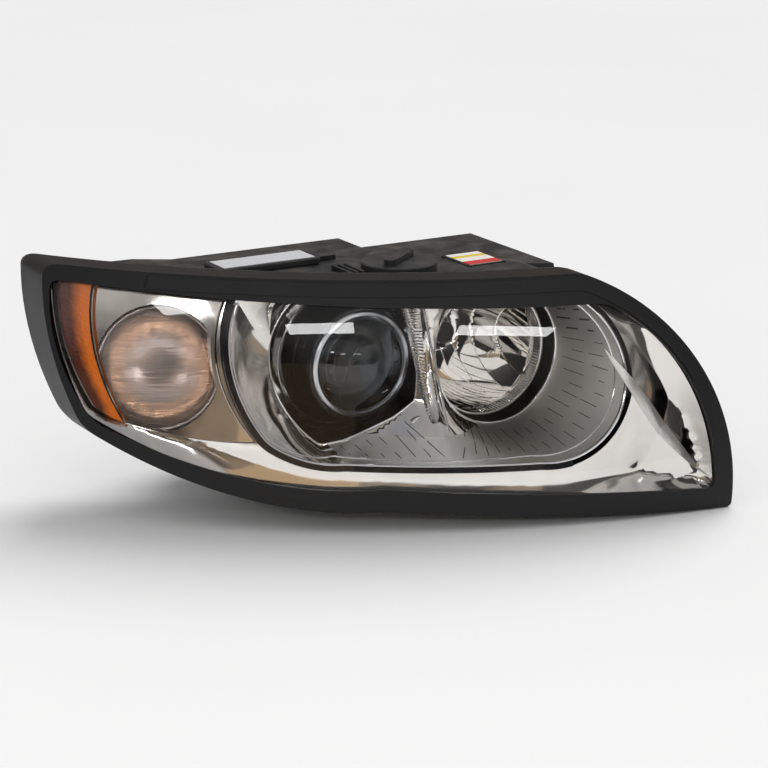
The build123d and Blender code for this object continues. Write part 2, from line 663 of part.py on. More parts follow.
with BuildPart() as turn_socket:
    rod(TURN, TURN_HOLE - SOCKET_FIT, TURN_BOWL + 2, TURN_BACK)
    rod(TURN, TURN_HOLE + 3, TURN_BACK, TURN_BACK + 2)
    rod(TURN, TURN_HOLE + 1, TURN_BACK + 2, TURN_BACK + 11)
    fillet(turn_socket.faces().sort_by(Axis(TURN.origin, TURN.y_dir))[-1].edges(), 1.5)
keep(turn_socket.part, "turn_socket")

with BuildPart() as marker_bulb:
    rod(MARKER_AXIS, 4.5, WALL_Y - 20, WALL_Y - 6)
    fillet(marker_bulb.faces().sort_by(Axis.Y)[0].edges(), 4)
keep(marker_bulb.part, "marker_bulb")

with BuildPart() as marker_socket:
    rod(MARKER_AXIS, MARKER_HOLE - SOCKET_FIT, WALL_Y - 6, LOW_REAR)
    rod(MARKER_AXIS, MARKER_HOLE + 2.5, LOW_REAR, LOW_REAR + 2)
    rod(MARKER_AXIS, MARKER_HOLE + 0.5, LOW_REAR + 2, LOW_REAR + 10)
    fillet(marker_socket.faces().sort_by(Axis.Y)[-1].edges(), 1.5)
keep(marker_socket.part, "marker_socket")

# ---------------------------------------------------------------- low beam
PLATE_BACK = PLATE_FRONT + PLATE
BARREL_END = BARREL_RADIUS + 3
FLANGE_RADIUS = 50.0
BOLT_CIRCLE = 47.0
SOLENOID_Z = -56.0
BARREL_FLANGE = 3.0
REAR_FLANGE = 2.0


def bolt_points(radius, count, first):
    """Places around a lamp's axis, as (across, up)."""
    turns = [radians(first + 360 * i / count) for i in range(count)]
    return [(radius * cos(t), radius * sin(t)) for t in turns]


LOW_BOLTS = [(PROJECTOR_X + x, PROJECTOR_Z + z) for x, z in bolt_points(BOLT_CIRCLE, 3, 90)]

with BuildPart() as lens_barrel:
    turned(
        PROJECTOR,
        [
            (LENS_RADIUS - 2.5, LENS_SEAT),
            (BARREL_RADIUS, LENS_SEAT),
            (BARREL_END, PLATE_FRONT - BARREL_FLANGE),
            (FLANGE_RADIUS, PLATE_FRONT - BARREL_FLANGE),
            (FLANGE_RADIUS, PLATE_FRONT),
            (BARREL_END - BARREL_WALL, PLATE_FRONT),
            (BARREL_RADIUS - BARREL_WALL, LENS_SEAT + 4),
            (LENS_RADIUS - 2.5, LENS_SEAT + 4),
        ],
    )
    for x, z in LOW_BOLTS:
        rod(beam(x, z), SCREW_RADIUS, PLATE_FRONT - 2, PLATE_FRONT, Mode.SUBTRACT)
keep(lens_barrel.part, "lens_barrel")

with BuildPart() as projector_lens:
    with BuildSketch(PROJECTOR) as lens_profile:
        with BuildLine():
            dome = RadiusArc(
                (LENS_RADIUS, LENS_SEAT - LENS_EDGE),
                (0, LENS_SEAT - LENS_EDGE - LENS_DOME),
                (LENS_RADIUS**2 + LENS_DOME**2) / (2 * LENS_DOME),
            )
            Polyline(dome @ 1, (0, LENS_SEAT), (LENS_RADIUS, LENS_SEAT), dome @ 0)
        make_face()
    revolve(axis=Axis(PROJECTOR.origin, PROJECTOR.y_dir))
keep(projector_lens.part, "projector_lens")

# clamp ring round the lens, with three claws that reach back over the barrel
RETAINER = BARREL_RADIUS + 1.6
with BuildPart() as lens_retainer:
    ring(PROJECTOR, LENS_RADIUS, RETAINER, LENS_SEAT - 4, LENS_SEAT)
    for first in (20, 140, 315):
        ring_section = [
            (RETAINER - 1, LENS_SEAT - 4),
            (RETAINER + 1, LENS_SEAT - 4),
            (RETAINER + 1.4, LENS_SEAT + 10),
            (RETAINER, LENS_SEAT + 10),
            (RETAINER - 0.2, LENS_SEAT),
            (RETAINER - 1, LENS_SEAT),
        ]
        turned(PROJECTOR, ring_section, angle=20, start=first)
keep(lens_retainer.part, "lens_retainer")

with BuildPart() as projector_shroud:
    turned(
        PROJECTOR,
        [
            (SHROUD_RADIUS - SHROUD_BAND, SHROUD_FRONT),
            (SHROUD_RADIUS, SHROUD_FRONT),
            (SHROUD_RADIUS, SHROUD_FRONT + 2),
            (SHROUD_RADIUS - 4, SHROUD_FRONT + 4),
            (FLANGE_RADIUS - 1, PLATE_FRONT - BARREL_FLANGE),
            (FLANGE_RADIUS - 3, PLATE_FRONT - BARREL_FLANGE),
            (SHROUD_RADIUS - SHROUD_BAND, SHROUD_FRONT + 3),
        ],
    )
keep(projector_shroud.part, "projector_shroud")

SHUTTER_Y = PLATE_FRONT - 6
SHUTTER_Z = PROJECTOR_Z - SHUTTER_DROP
SHUTTER_HALF = 18.0
LUG = 2.2
SHUTTER_PIN = Plane(origin=spot(PROJECTOR_X, SHUTTER_Y, SHUTTER_Z), x_dir=(0, 1, 0), z_dir=(0, 0, 1))
with BuildPart() as cutoff_shutter:
    rod(SHUTTER_PIN, PIN_RADIUS, -SHUTTER_HALF - LUG, SHUTTER_HALF + LUG)
    block(
        (PROJECTOR_X - SHUTTER_HALF + 0.5, SHUTTER_Y - 0.8, SHUTTER_Z),
        (PROJECTOR_X, SHUTTER_Y + 0.8, PROJECTOR_Z),
    )
    block(
        (PROJECTOR_X, SHUTTER_Y - 0.8, SHUTTER_Z),
        (PROJECTOR_X + SHUTTER_HALF - 0.5, SHUTTER_Y + 0.8, PROJECTOR_Z - 2),
    )
keep(cutoff_shutter.part, "cutoff_shutter")

FRAME_RING = BARREL_END - BARREL_WALL - 0.2
with BuildPart() as shutter_frame:
    ring(PROJECTOR, 33, FRAME_RING, PLATE_FRONT - 2.5, PLATE_FRONT)
    for side in (-1, 1):
        lug_x = PROJECTOR_X + side * (SHUTTER_HALF + LUG / 2)
        block(
            (lug_x - LUG / 2, SHUTTER_Y - 2.4, SHUTTER_Z - 2.4),
            (lug_x + LUG / 2, PLATE_FRONT - 2, SHUTTER_Z + 2.4),
        )
    rod(SHUTTER_PIN, PIN_RADIUS + PIN_FIT, -SHUTTER_HALF - LUG, SHUTTER_HALF + LUG, Mode.SUBTRACT)
keep(shutter_frame.part, "shutter_frame")

with BuildPart() as shutter_solenoid:
    rod(beam(PROJECTOR_X, PROJECTOR_Z - FLANGE_RADIUS + 1), 6, PLATE_BACK + REAR_FLANGE, PLATE_BACK + 26)
    fillet(shutter_solenoid.faces().sort_by(Axis.Y)[-1].edges(), 1)
keep(shutter_solenoid.part, "shutter_solenoid")

NECK_FLANGE = 20.0
CLIP_AXIS_Z = PROJECTOR_Z + CLIP_PIVOT
CLIP_Y = LOW_APEX + REFLECTOR_WALL + 4.5
CLIP_HALF = 13.5
CLIP_HINGE = Plane(origin=spot(PROJECTOR_X, CLIP_Y, CLIP_AXIS_Z), x_dir=(0, 1, 0), z_dir=(0, 0, 1))
with BuildPart() as projector_reflector:
    bowl(PROJECTOR, 38, PLATE_BACK, LOW_NECK, LOW_APEX, REFLECTOR_WALL)
    ring(PROJECTOR, 38.5, FLANGE_RADIUS, PLATE_BACK, PLATE_BACK + REAR_FLANGE)
    ring(PROJECTOR, LOW_NECK, NECK_FLANGE, LOW_APEX, LOW_APEX + REFLECTOR_WALL)
    for side in (-1, 1):
        lug_x = PROJECTOR_X + side * 8
        block(
            (lug_x - 1.5, LOW_APEX, NECK_FLANGE + PROJECTOR_Z - 2),
            (lug_x + 1.5, CLIP_Y + 2, CLIP_AXIS_Z + 2.4),
        )
    rod(CLIP_HINGE, CLIP_WIRE / 2 + PIN_FIT, -12, 12, Mode.SUBTRACT)
    # a notch where the carrier's arm to the pivot passes
    block(
        (PIVOT_X - 5, PLATE_BACK, PIVOT_Z - 5),
        (PIVOT_X + 5, PLATE_BACK + REAR_FLANGE, PIVOT_Z + 5),
        Mode.SUBTRACT,
    )
    for x, z in LOW_BOLTS:
        rod(beam(x, z), SCREW_RADIUS, PLATE_BACK, PLATE_BACK + REAR_FLANGE, Mode.SUBTRACT)
keep(projector_reflector.part, "projector_reflector")

BULB_SEAT = LOW_APEX + REFLECTOR_WALL
with BuildPart() as low_beam_bulb:
    rod(PROJECTOR, 5, BULB_SEAT - 34, BULB_SEAT - 8)
    fillet(low_beam_bulb.faces().sort_by(Axis.Y)[0].edges(), 4.5)
    rod(PROJECTOR, 9, BULB_SEAT - 9, BULB_SEAT)
    rod(PROJECTOR, 17, BULB_SEAT, BULB_SEAT + 2)
    rod(PROJECTOR, 10.5, BULB_SEAT + 2, BULB_SEAT + 17)
keep(low_beam_bulb.part, "low_beam_bulb")

with BuildPart() as bulb_clip:
    rod(CLIP_HINGE, CLIP_WIRE / 2, -CLIP_HALF, CLIP_HALF)
    for side in (-1, 1):
        leg = upright(PROJECTOR_X + side * CLIP_HALF, CLIP_Y, PROJECTOR_Z)
        rod(leg, CLIP_WIRE / 2, -16, CLIP_PIVOT)
        ball(PROJECTOR_X + side * CLIP_HALF, CLIP_Y, CLIP_AXIS_Z, CLIP_WIRE / 2)
        ball(PROJECTOR_X + side * CLIP_HALF, CLIP_Y, PROJECTOR_Z - 16, CLIP_WIRE / 2)
    foot = Plane(origin=spot(PROJECTOR_X, CLIP_Y, PROJECTOR_Z - 16), x_dir=(0, 1, 0), z_dir=(0, 0, 1))
    rod(foot, CLIP_WIRE / 2, -CLIP_HALF, CLIP_HALF)
keep(bulb_clip.part, "bulb_clip")

with BuildPart() as projector_screws:
    for x, z in LOW_BOLTS:
        behind = Plane(origin=spot(x, PLATE_BACK + REAR_FLANGE, z), x_dir=(-1, 0, 0), z_dir=(0, 0, 1))
        screw(behind, 0, REAR_FLANGE + PLATE + 2)
keep(projector_screws.part, "projector_screws")

# ---------------------------------------------------------------- high beam
HIGH_FLANGE = 20.0
HIGH_APEX = PLATE_FRONT - 2
with BuildPart() as high_beam_reflector:
    bowl(HIGH, BOWL_RADIUS, BOWL_FRONT, BOWL_NECK, HIGH_APEX, REFLECTOR_WALL)
    ring(HIGH, BOWL_NECK, HIGH_FLANGE, HIGH_APEX, PLATE_FRONT)
keep(high_beam_reflector.part, "high_beam_reflector")

BULB_BASE = 9.0
with BuildPart() as high_beam_bulb:
    rod(HIGH, BULB_RADIUS, BULB_TIP + 3, PLATE_FRONT - 4)
    fillet(high_beam_bulb.faces().sort_by(Axis.Y)[0].edges(), 5)
    rod(HIGH, BULB_BASE, PLATE_FRONT - 5, PLATE_BACK + 2)
    rod(HIGH, BULB_BASE + 6, PLATE_BACK, PLATE_BACK + 2)
keep(high_beam_bulb.part, "high_beam_bulb")

SHIELD = 8.5
with BuildPart() as high_bulb_shield:
    ring(HIGH, BULB_RADIUS + 1, SHIELD, BULB_TIP, BULB_TIP + 9)
    rod(HIGH, SHIELD, BULB_TIP - 2, BULB_TIP)
    fillet(high_bulb_shield.faces().sort_by(Axis.Y)[0].edges(), 1.5)
    block((HIGH_X - 1.5, BULB_TIP, HIGH_Z - BOWL_NECK + 0.2), (HIGH_X + 1.5, PLATE_FRONT, HIGH_Z - 10))
    block((HIGH_X - 1.5, BULB_TIP, HIGH_Z - BOWL_NECK + 0.2), (HIGH_X + 1.5, BULB_TIP + 4, HIGH_Z - 8))
keep(high_bulb_shield.part, "high_bulb_shield")

with BuildPart() as high_bulb_socket:
    rod(HIGH, BULB_BASE + 5, PLATE_BACK + 2, PLATE_BACK + 12)
    rod(HIGH, BULB_BASE + 3, PLATE_BACK + 12, PLATE_BACK + 20)
    block((HIGH_X - 2, PLATE_BACK + 2, HIGH_Z + 12), (HIGH_X + 2, PLATE_BACK + 12, HIGH_Z + 16))
    fillet(high_bulb_socket.faces().sort_by(Axis.Y)[-1].edges(), 1.5)
keep(high_bulb_socket.part, "high_bulb_socket")

# ---------------------------------------------------------------- aiming
SOCKET_BALL = ROD_BALL + BALL_PLAY
YOKE = 11.5  # ring of the carrier that holds the pivot's ball
BALL_FLAT = 5.0
ARM_IN, ARM_OUT = 6.0, 9.5
PIVOT = upright(PIVOT_X, PIVOT_Y, PIVOT_Z)

with BuildPart() as carrier_frame:
    with BuildSketch(FRONT.offset(-PLATE_BACK)):
        with Locations((PROJECTOR_X, PROJECTOR_Z)):
            Circle(FLANGE_RADIUS + 2)
        with Locations(((PROJECTOR_X + HIGH_X + 40) / 2, HIGH_Z)):
            RectangleRounded(HIGH_X + 40 - PROJECTOR_X, 84, 12)
        with Locations((PIVOT_X, PIVOT_Z - LEVEL_ARM / 2)):
            RectangleRounded(18, LEVEL_ARM + 20, 8)
        with Locations((PIVOT_X - SIDE_ARM / 2, PIVOT_Z)):
            RectangleRounded(SIDE_ARM + 18, 17, 8)
        with Locations((PROJECTOR_X, PROJECTOR_Z)):
            Circle(FLANGE_RADIUS - 12, mode=Mode.SUBTRACT)
        with Locations((HIGH_X, HIGH_Z)):
            Circle(BOWL_NECK, mode=Mode.SUBTRACT)
    extrude(amount=PLATE)
    for x, z in LOW_BOLTS:
        rod(beam(x, z), SCREW_RADIUS, PLATE_FRONT, PLATE_BACK, Mode.SUBTRACT)
    block((PIVOT_X - 4, PLATE_FRONT, PIVOT_Z - 4), (PIVOT_X + 4, PIVOT_Y - 9, PIVOT_Z + 4))
    rod(PIVOT, YOKE, -4, 4)
    ball(PIVOT_X, PIVOT_Y, PIVOT_Z, PIVOT_BALL + BALL_PLAY / 2, Mode.SUBTRACT)
keep(carrier_frame.part, "carrier_frame")

with BuildPart() as aim_ball:
    ball(PIVOT_X, PIVOT_Y, PIVOT_Z, PIVOT_BALL)
    rod(PIVOT, 2 * PIVOT_BALL, BALL_FLAT, 2 * PIVOT_BALL, Mode.SUBTRACT)
    rod(PIVOT, 2 * PIVOT_BALL, -2 * PIVOT_BALL, -BALL_FLAT, Mode.SUBTRACT)
    rod(PIVOT, PIVOT_PIN + PIN_FIT, -BALL_FLAT, BALL_FLAT, Mode.SUBTRACT)
keep(aim_ball.part, "aim_ball")

with BuildPart() as pivot_pin:
    rod(PIVOT, PIVOT_PIN, -ARM_OUT - 0.8, ARM_OUT + 0.8)
keep(pivot_pin.part, "pivot_pin")

FORK_SCREWS = [(PIVOT_X, PIVOT_Z + 12), (PIVOT_X + 10, PIVOT_Z - 8)]
FORK_BACK = PIVOT_Y + YOKE + 4
with BuildPart() as pivot_fork:
    block((PIVOT_X - 5, PIVOT_Y - 4, PIVOT_Z + ARM_IN), (PIVOT_X + 5, FORK_BACK + 4, PIVOT_Z + ARM_OUT))
    block((PIVOT_X - 5, PIVOT_Y - 4, PIVOT_Z - ARM_OUT), (PIVOT_X + 5, FORK_BACK + 4, PIVOT_Z - ARM_IN))
    block((PIVOT_X - 5, FORK_BACK, PIVOT_Z - ARM_IN), (PIVOT_X + 5, FORK_BACK + 4, PIVOT_Z + ARM_IN))
    block((PIVOT_X - 4, FORK_BACK + 4, PIVOT_Z - 4), (PIVOT_X + 4, WALL_Y, PIVOT_Z + 4))
    block((PIVOT_X - 6, WALL_Y - 4, PIVOT_Z - 12), (PIVOT_X + 14, WALL_Y, PIVOT_Z + 17))
    rod(PIVOT, PIVOT_PIN, -ARM_OUT, ARM_OUT, Mode.SUBTRACT)
keep(pivot_fork.part, "pivot_fork")

with BuildPart() as rod_sockets:
    for axis in (LEVEL, SIDE):
        rod(axis, 5, PLATE_BACK, PIVOT_Y - 5)
        rod(axis, 7.5, PIVOT_Y - 6, PIVOT_Y + 3.5)
        middle = axis.origin + axis.y_dir * PIVOT_Y
        with Locations(middle):
            Sphere(SOCKET_BALL, mode=Mode.SUBTRACT)
        rod(axis, 4.3, PIVOT_Y, PIVOT_Y + 4, Mode.SUBTRACT)
keep(rod_sockets.part, "rod_sockets")


def aim_rod(axis):
    """A rod with a ball on its front end."""
    rod(axis, ROD_RADIUS, PIVOT_Y, ROD_END)
    with Locations(axis.origin + axis.y_dir * PIVOT_Y):
        Sphere(ROD_BALL)


with BuildPart() as level_rod:
    aim_rod(LEVEL)
keep(level_rod.part, "level_rod")

with BuildPart() as side_rod:
    aim_rod(SIDE)
keep(side_rod.part, "side_rod")

LEVEL_Z = PIVOT_Z - LEVEL_ARM
with BuildPart() as level_motor:
    block(
        (PIVOT_X - MOTOR_WIDTH / 2, MOTOR_FRONT, LEVEL_Z - MOTOR_HEIGHT / 2),
        (PIVOT_X + MOTOR_WIDTH / 2, WALL_Y, LEVEL_Z + MOTOR_HEIGHT / 2),
    )
    fillet(level_motor.edges().filter_by(Axis.Y), 3)
    rod(LEVEL, MOTOR_NECK, WALL_Y, LOW_REAR + 8)
    rod(LEVEL, ROD_RADIUS + PIN_FIT, MOTOR_FRONT, BORE_END, Mode.SUBTRACT)
keep(level_motor.part, "level_motor")

with BuildPart() as side_adjuster:
    rod(SIDE, SLEEVE_NECK + 3, MOTOR_FRONT, WALL_Y)
    rod(SIDE, SLEEVE_NECK, WALL_Y, LOW_REAR + 3)
    rod(SIDE, ROD_RADIUS + PIN_FIT, MOTOR_FRONT, BORE_END, Mode.SUBTRACT)
    rod(SIDE, KNOB_STEM + PIN_FIT, STEM_FRONT - 1, LOW_REAR + 3, Mode.SUBTRACT)
keep(side_adjuster.part, "side_adjuster")

with BuildPart() as side_knob:
    rod(SIDE, KNOB_STEM, STEM_FRONT, KNOB_FRONT + 1)
    rod(SIDE, KNOB_RADIUS, KNOB_FRONT, KNOB_FRONT + KNOB)
    for groove in range(8):
        turn = radians(45 * groove)
        x = PIVOT_X - SIDE_ARM + (KNOB_RADIUS + 0.6) * cos(turn)
        z = PIVOT_Z + (KNOB_RADIUS + 0.6) * sin(turn)
        rod(beam(x, z), 1.6, KNOB_FRONT - 1, KNOB_FRONT + KNOB + 1, Mode.SUBTRACT)
keep(side_knob.part, "side_knob")

# ---------------------------------------------------------------- covers with their seals

def cap_seal(plane, port, rise, thick):
    ring(plane, port + 0.4, port + COLLAR_WALL + 1, rise, rise + thick)


CAPS = [
    ("low_beam_cover", LOW_MOUTH, LOW_PORT, PORT_RISE, 20),
    ("high_beam_cover", HIGH_MOUTH, HIGH_PORT, PORT_RISE, 20),
    ("top_cap", TOP_CAP, TOP_PORT, TOP_RISE, 38),
]
for name, mouth, port, rise, lie in CAPS:
    with BuildPart() as cap:
        twist_cap(mouth, port, rise, SEAL)
        grip_bar(mouth, port, rise, SEAL, lie, GRIP_HEIGHT)
    keep(cap.part, name)
    with BuildPart() as seal:
        cap_seal(mouth, port, rise, SEAL)
    keep(seal.part, name + "_seal")

# ---------------------------------------------------------------- on the housing
with BuildPart() as connector_socket:
    block(
        (PLUG_X - PLUG_W / 2, LOW_REAR, PLUG_Z - PLUG_H / 2),
        (PLUG_X + PLUG_W / 2, LOW_REAR + PLUG_DEPTH, PLUG_Z + PLUG_H / 2),
    )
    fillet(connector_socket.edges().filter_by(Axis.Y), 3)
    block(
        (PLUG_X - PLUG_W / 2 + PLUG_FLOOR, LOW_REAR - 1, PLUG_Z - PLUG_H / 2 + PLUG_FLOOR),
        (PLUG_X + PLUG_W / 2 - PLUG_FLOOR, LOW_REAR + PLUG_FLOOR, PLUG_Z + PLUG_H / 2 - PLUG_FLOOR),
    )
    block(
        (PLUG_X - PLUG_W / 2 + PLUG_WALL, LOW_REAR + PLUG_FLOOR, PLUG_Z - PLUG_H / 2 + PLUG_WALL),
        (PLUG_X + PLUG_W / 2 - PLUG_WALL, LOW_REAR + PLUG_DEPTH + 1, PLUG_Z + PLUG_H / 2 - PLUG_WALL),
        Mode.SUBTRACT,
    )
keep(connector_socket.part, "connector_socket")

with BuildPart() as connector_pins:
    for column_number in range(4):
        for row in (-1, 1):
            x = PLUG_X + (column_number - 1.5) * PIN_PITCH
            z = PLUG_Z + row * 3
            foot = LOW_REAR + PLUG_FLOOR
            block((x - 0.8, foot, z - 0.4), (x + 0.8, foot + PIN_LENGTH, z + 0.4))
keep(connector_pins.part, "connector_pins")

with BuildPart() as vent_caps:
    for x, y, z in VENTS:
        rod(beam(x, z), VENT_RADIUS, y, y + VENT_RISE)
        rod(beam(x, z), VENT_LIP, y + 2, y + VENT_RISE - 2)
keep(vent_caps.part, "vent_caps")

with BuildPart() as control_unit:
    block((BOX_LEFT, BOX_FRONT, BOX_PAD), (BOX_RIGHT, BOX_BACK, BOX_TOP))
    fillet(control_unit.edges().filter_by(Axis.Z), 3)
    chamfer(control_unit.faces().sort_by(Axis.Z)[-1].edges(), 0.8)
keep(control_unit.part, "control_unit")

with BuildPart() as unit_label:
    block(
        (BOX_LEFT + LABEL_MARGIN, BOX_FRONT + LABEL_MARGIN - 1, BOX_TOP),
        (BOX_RIGHT - LABEL_MARGIN, BOX_BACK - LABEL_MARGIN + 1, BOX_TOP + LABEL),
    )
keep(unit_label.part, "unit_label")

with BuildPart() as roof_label:
    block(
        (LABEL_LEFT, LABEL_FRONT, LABEL_PAD),
        (LABEL_RIGHT, LABEL_BACK, LABEL_PAD + LABEL),
    )
keep(roof_label.part, "roof_label")

with BuildPart() as fixing_bushes:
    for x, y, z in ((TAB_X, TAB_Y, TAB_Z), (OUTER_TAB_X, OUTER_TAB_Y, OUTER_TAB_Z)):
        ring(upright(x, y, z), HOLE_RADIUS, BUSH_OUTER, -TAB, 0)
keep(fixing_bushes.part, "fixing_bushes")
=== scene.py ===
"""Looks of a car headlight: clear cover, metallised bezels, lamps and the moulded housing.

Shapes are given in millimetres from the centre of the headlight's face, x to the inner end of the car,
y to the rear and z up, as seen from straight ahead, and are placed in the frame in metres.
"""

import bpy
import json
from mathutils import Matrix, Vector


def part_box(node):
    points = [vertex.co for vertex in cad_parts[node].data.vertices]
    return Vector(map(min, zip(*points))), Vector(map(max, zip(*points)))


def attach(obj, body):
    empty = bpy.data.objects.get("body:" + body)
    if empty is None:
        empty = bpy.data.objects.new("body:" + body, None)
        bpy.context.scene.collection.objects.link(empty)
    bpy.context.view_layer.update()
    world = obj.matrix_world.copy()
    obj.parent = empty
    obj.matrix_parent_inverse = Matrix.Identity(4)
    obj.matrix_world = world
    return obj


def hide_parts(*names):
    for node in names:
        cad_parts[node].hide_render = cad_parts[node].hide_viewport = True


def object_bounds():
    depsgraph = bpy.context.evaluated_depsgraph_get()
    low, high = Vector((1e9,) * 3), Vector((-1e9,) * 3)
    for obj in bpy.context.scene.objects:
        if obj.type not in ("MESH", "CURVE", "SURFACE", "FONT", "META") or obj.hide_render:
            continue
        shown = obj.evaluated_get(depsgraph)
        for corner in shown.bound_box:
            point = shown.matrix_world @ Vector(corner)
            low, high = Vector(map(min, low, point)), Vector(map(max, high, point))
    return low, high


bl_info = {
    "name": "Car headlight looks",
    "version": (1, 0, 0),
    "blender": (4, 5, 0),
    "location": "View3D > Sidebar > Headlight",
    "description": "Builds the visible pieces of a car headlight around its CAD frame",
    "category": "Mesh",
}

import json
import random
from math import atan2, cos, pi, radians, sin, tan

import bmesh
import bpy
import numpy as np
from bpy.props import FloatProperty, FloatVectorProperty, IntProperty
from mathutils import Vector
from mathutils.geometry import delaunay_2d_cdt

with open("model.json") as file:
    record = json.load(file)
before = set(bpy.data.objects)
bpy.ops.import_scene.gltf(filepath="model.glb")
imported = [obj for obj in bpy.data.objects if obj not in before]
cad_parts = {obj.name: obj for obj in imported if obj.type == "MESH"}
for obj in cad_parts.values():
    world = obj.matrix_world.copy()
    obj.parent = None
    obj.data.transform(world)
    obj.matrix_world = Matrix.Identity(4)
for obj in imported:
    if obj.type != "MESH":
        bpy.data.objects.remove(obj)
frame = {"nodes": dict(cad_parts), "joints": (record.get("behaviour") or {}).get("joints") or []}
CAD_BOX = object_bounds()

MM = 0.001
JOINTS = {joint["name"]: joint for joint in frame["joints"]}


# ------------------------------------------------------------ places, from the frame
def joint_place(name):
    return Vector(JOINTS[name]["pos_m"])


LENS_DOME_DEPTH = 38.0  # front of the projector lens, behind the face's centre
LOW_X, LOW_Z = 14.3, -1.6  # low beam's axis
low_mouth = joint_place("low_cover_turn")
CENTRE = Vector((
    low_mouth.x - LOW_X * MM,
    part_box("projector_lens")[0].y - LENS_DOME_DEPTH * MM,
    low_mouth.z - LOW_Z * MM,
))


def measured(point):
    """A point of the frame in millimetres from the face's centre."""
    return (Vector(point) - CENTRE) / MM


HIGH_X, _, HIGH_Z = measured(joint_place("high_cover_turn"))
TURN_AT = measured(joint_place("turn_socket_turn"))
TURN_IN = Vector(JOINTS["turn_socket_turn"]["axis"]).normalized()

FACE_SWEEP, FACE_RADIUS = radians(28), 650.0
OUTWARD = -TURN_IN
ACROSS = Vector((cos(FACE_SWEEP), -sin(FACE_SWEEP), 0))
CROWN = -OUTWARD * FACE_RADIUS  # centre of the sphere that the cover is cut from


def crown_y(x, z, depth=0.0):
    """How far back the surface this deep under the cover's crown lies."""
    across = (x - CROWN.x) ** 2 + (z - CROWN.z) ** 2
    return CROWN.y - np.sqrt((FACE_RADIUS - depth) ** 2 - across)


# ------------------------------------------------------------ outlines, seen from straight ahead
def arc_points(start, middle, end, step=2.0):
    """Points along the arc through three points, without the last one."""
    a, b, c = complex(*start), complex(*middle), complex(*end)
    w = (c - a) / (b - a)
    centre = a - (a - b) * (w - abs(w) ** 2) / 2j / w.imag
    angles = [atan2((p - centre).imag, (p - centre).real) for p in (a, b, c)]
    sweep = (angles[2] - angles[0]) % (2 * pi)
    if (angles[1] - angles[0]) % (2 * pi) > sweep:
        sweep -= 2 * pi
    radius = abs(a - centre)
    count = max(3, int(abs(sweep) * radius / step))
    turns = [angles[0] + sweep * i / count for i in range(count)]
    return [(centre.real + radius * cos(t), centre.imag + radius * sin(t)) for t in turns]


def rounded(points, corner, radius):
    """The outline with the corner nearest a point replaced by a smooth turn."""
    first = int(np.argmin(np.hypot(*(points - np.array(corner)).T)))
    points = np.roll(points, -first, axis=0)
    before = points[0] - points[-3]
    after = points[3] - points[0]
    cosine = before @ after / np.hypot(*before) / np.hypot(*after)
    reach = radius * tan(np.arccos(np.clip(cosine, -1, 1)) / 2)
    far = np.hypot(*(points - points[0]).T) > reach
    start, end = int(np.argmax(far)), len(points) - 1 - int(np.argmax(far[::-1]))
    a, b, c = points[end], points[0], points[start]
    turn = [(1 - t) ** 2 * a + 2 * t * (1 - t) * b + t * t * c for t in np.linspace(0.1, 0.9, 9)]
    return np.concatenate([points[start : end + 1], turn])


def outline(arcs, corners=()):
    points = np.array([p for arc in arcs for p in arc_points(*arc)])
    for number, radius in corners:
        points = rounded(points, arcs[number][0], radius)
    return points


def distance(points, line):
    """How far each point is from a closed outline."""
    a, b = line, np.roll(line, -1, axis=0)
    run = b - a
    from_a = points[:, None] - a[None]
    share = np.clip((from_a * run).sum(2) / np.maximum((run * run).sum(1), 1e-9), 0, 1)
    gap = from_a - share[..., None] * run
    return np.sqrt((gap * gap).sum(2)).min(1)


def inside(points, line):
    """Which points lie inside a closed outline."""
    x, z = points[:, 0][:, None], points[:, 1][:, None]
    ax, az = line[:, 0], line[:, 1]
    bx, bz = np.roll(ax, -1), np.roll(az, -1)
    rise = np.where(bz == az, 1e-9, bz - az)
    crosses = ((az > z) != (bz > z)) & (x < (bx - ax) * (z - az) / rise + ax)
    return crosses.sum(1) % 2 == 1


def respaced(points, step):
    """The outline with points an even step apart."""
    closed = np.vstack([points, points[:1]])
    run = np.concatenate([[0], np.cumsum(np.hypot(*np.diff(closed, axis=0).T))])
    along = np.linspace(0, run[-1], max(8, int(run[-1] / step)), endpoint=False)
    return np.stack([np.interp(along, run, closed[:, 0]), np.interp(along, run, closed[:, 1])], 1)


def grown(points, amount, step=2.0):
    """An outline moved outwards or, below zero, inwards."""
    ahead = np.roll(points, -1, axis=0) - np.roll(points, 1, axis=0)
    normal = np.stack([ahead[:, 1], -ahead[:, 0]], 1) / np.hypot(*ahead.T)[:, None]
    x, z = points.T
    if (x * np.roll(z, -1) - np.roll(x, -1) * z).sum() < 0:
        normal = -normal
    moved = points + normal * amount
    return respaced(moved[distance(moved, points) > abs(amount) * 0.985], step)


def circle(x, z, radius, count=96):
    turns = np.linspace(0, 2 * pi, count, endpoint=False)
    return np.stack([x + radius * np.cos(turns), z + radius * np.sin(turns)], 1)


def held_in(points, fence):
    """An outline pulled in to the fence wherever it passes outside it."""
    near = fence[np.argmin(((points[:, None] - fence[None]) ** 2).sum(2), axis=1)]
    return np.where(inside(points, fence)[:, None], points, near)


def band(outer, inner, wanted):
    """The part of the strip between two outlines where wanted(points) holds."""
    sides = []
    for line in (outer, inner):
        chosen = wanted(line)
        first = int(np.argmax(chosen & ~np.roll(chosen, 1)))
        line, chosen = np.roll(line, -first, axis=0), np.roll(chosen, -first)
        sides.append(line[chosen])
    return np.vstack([sides[0], sides[1][::-1]])


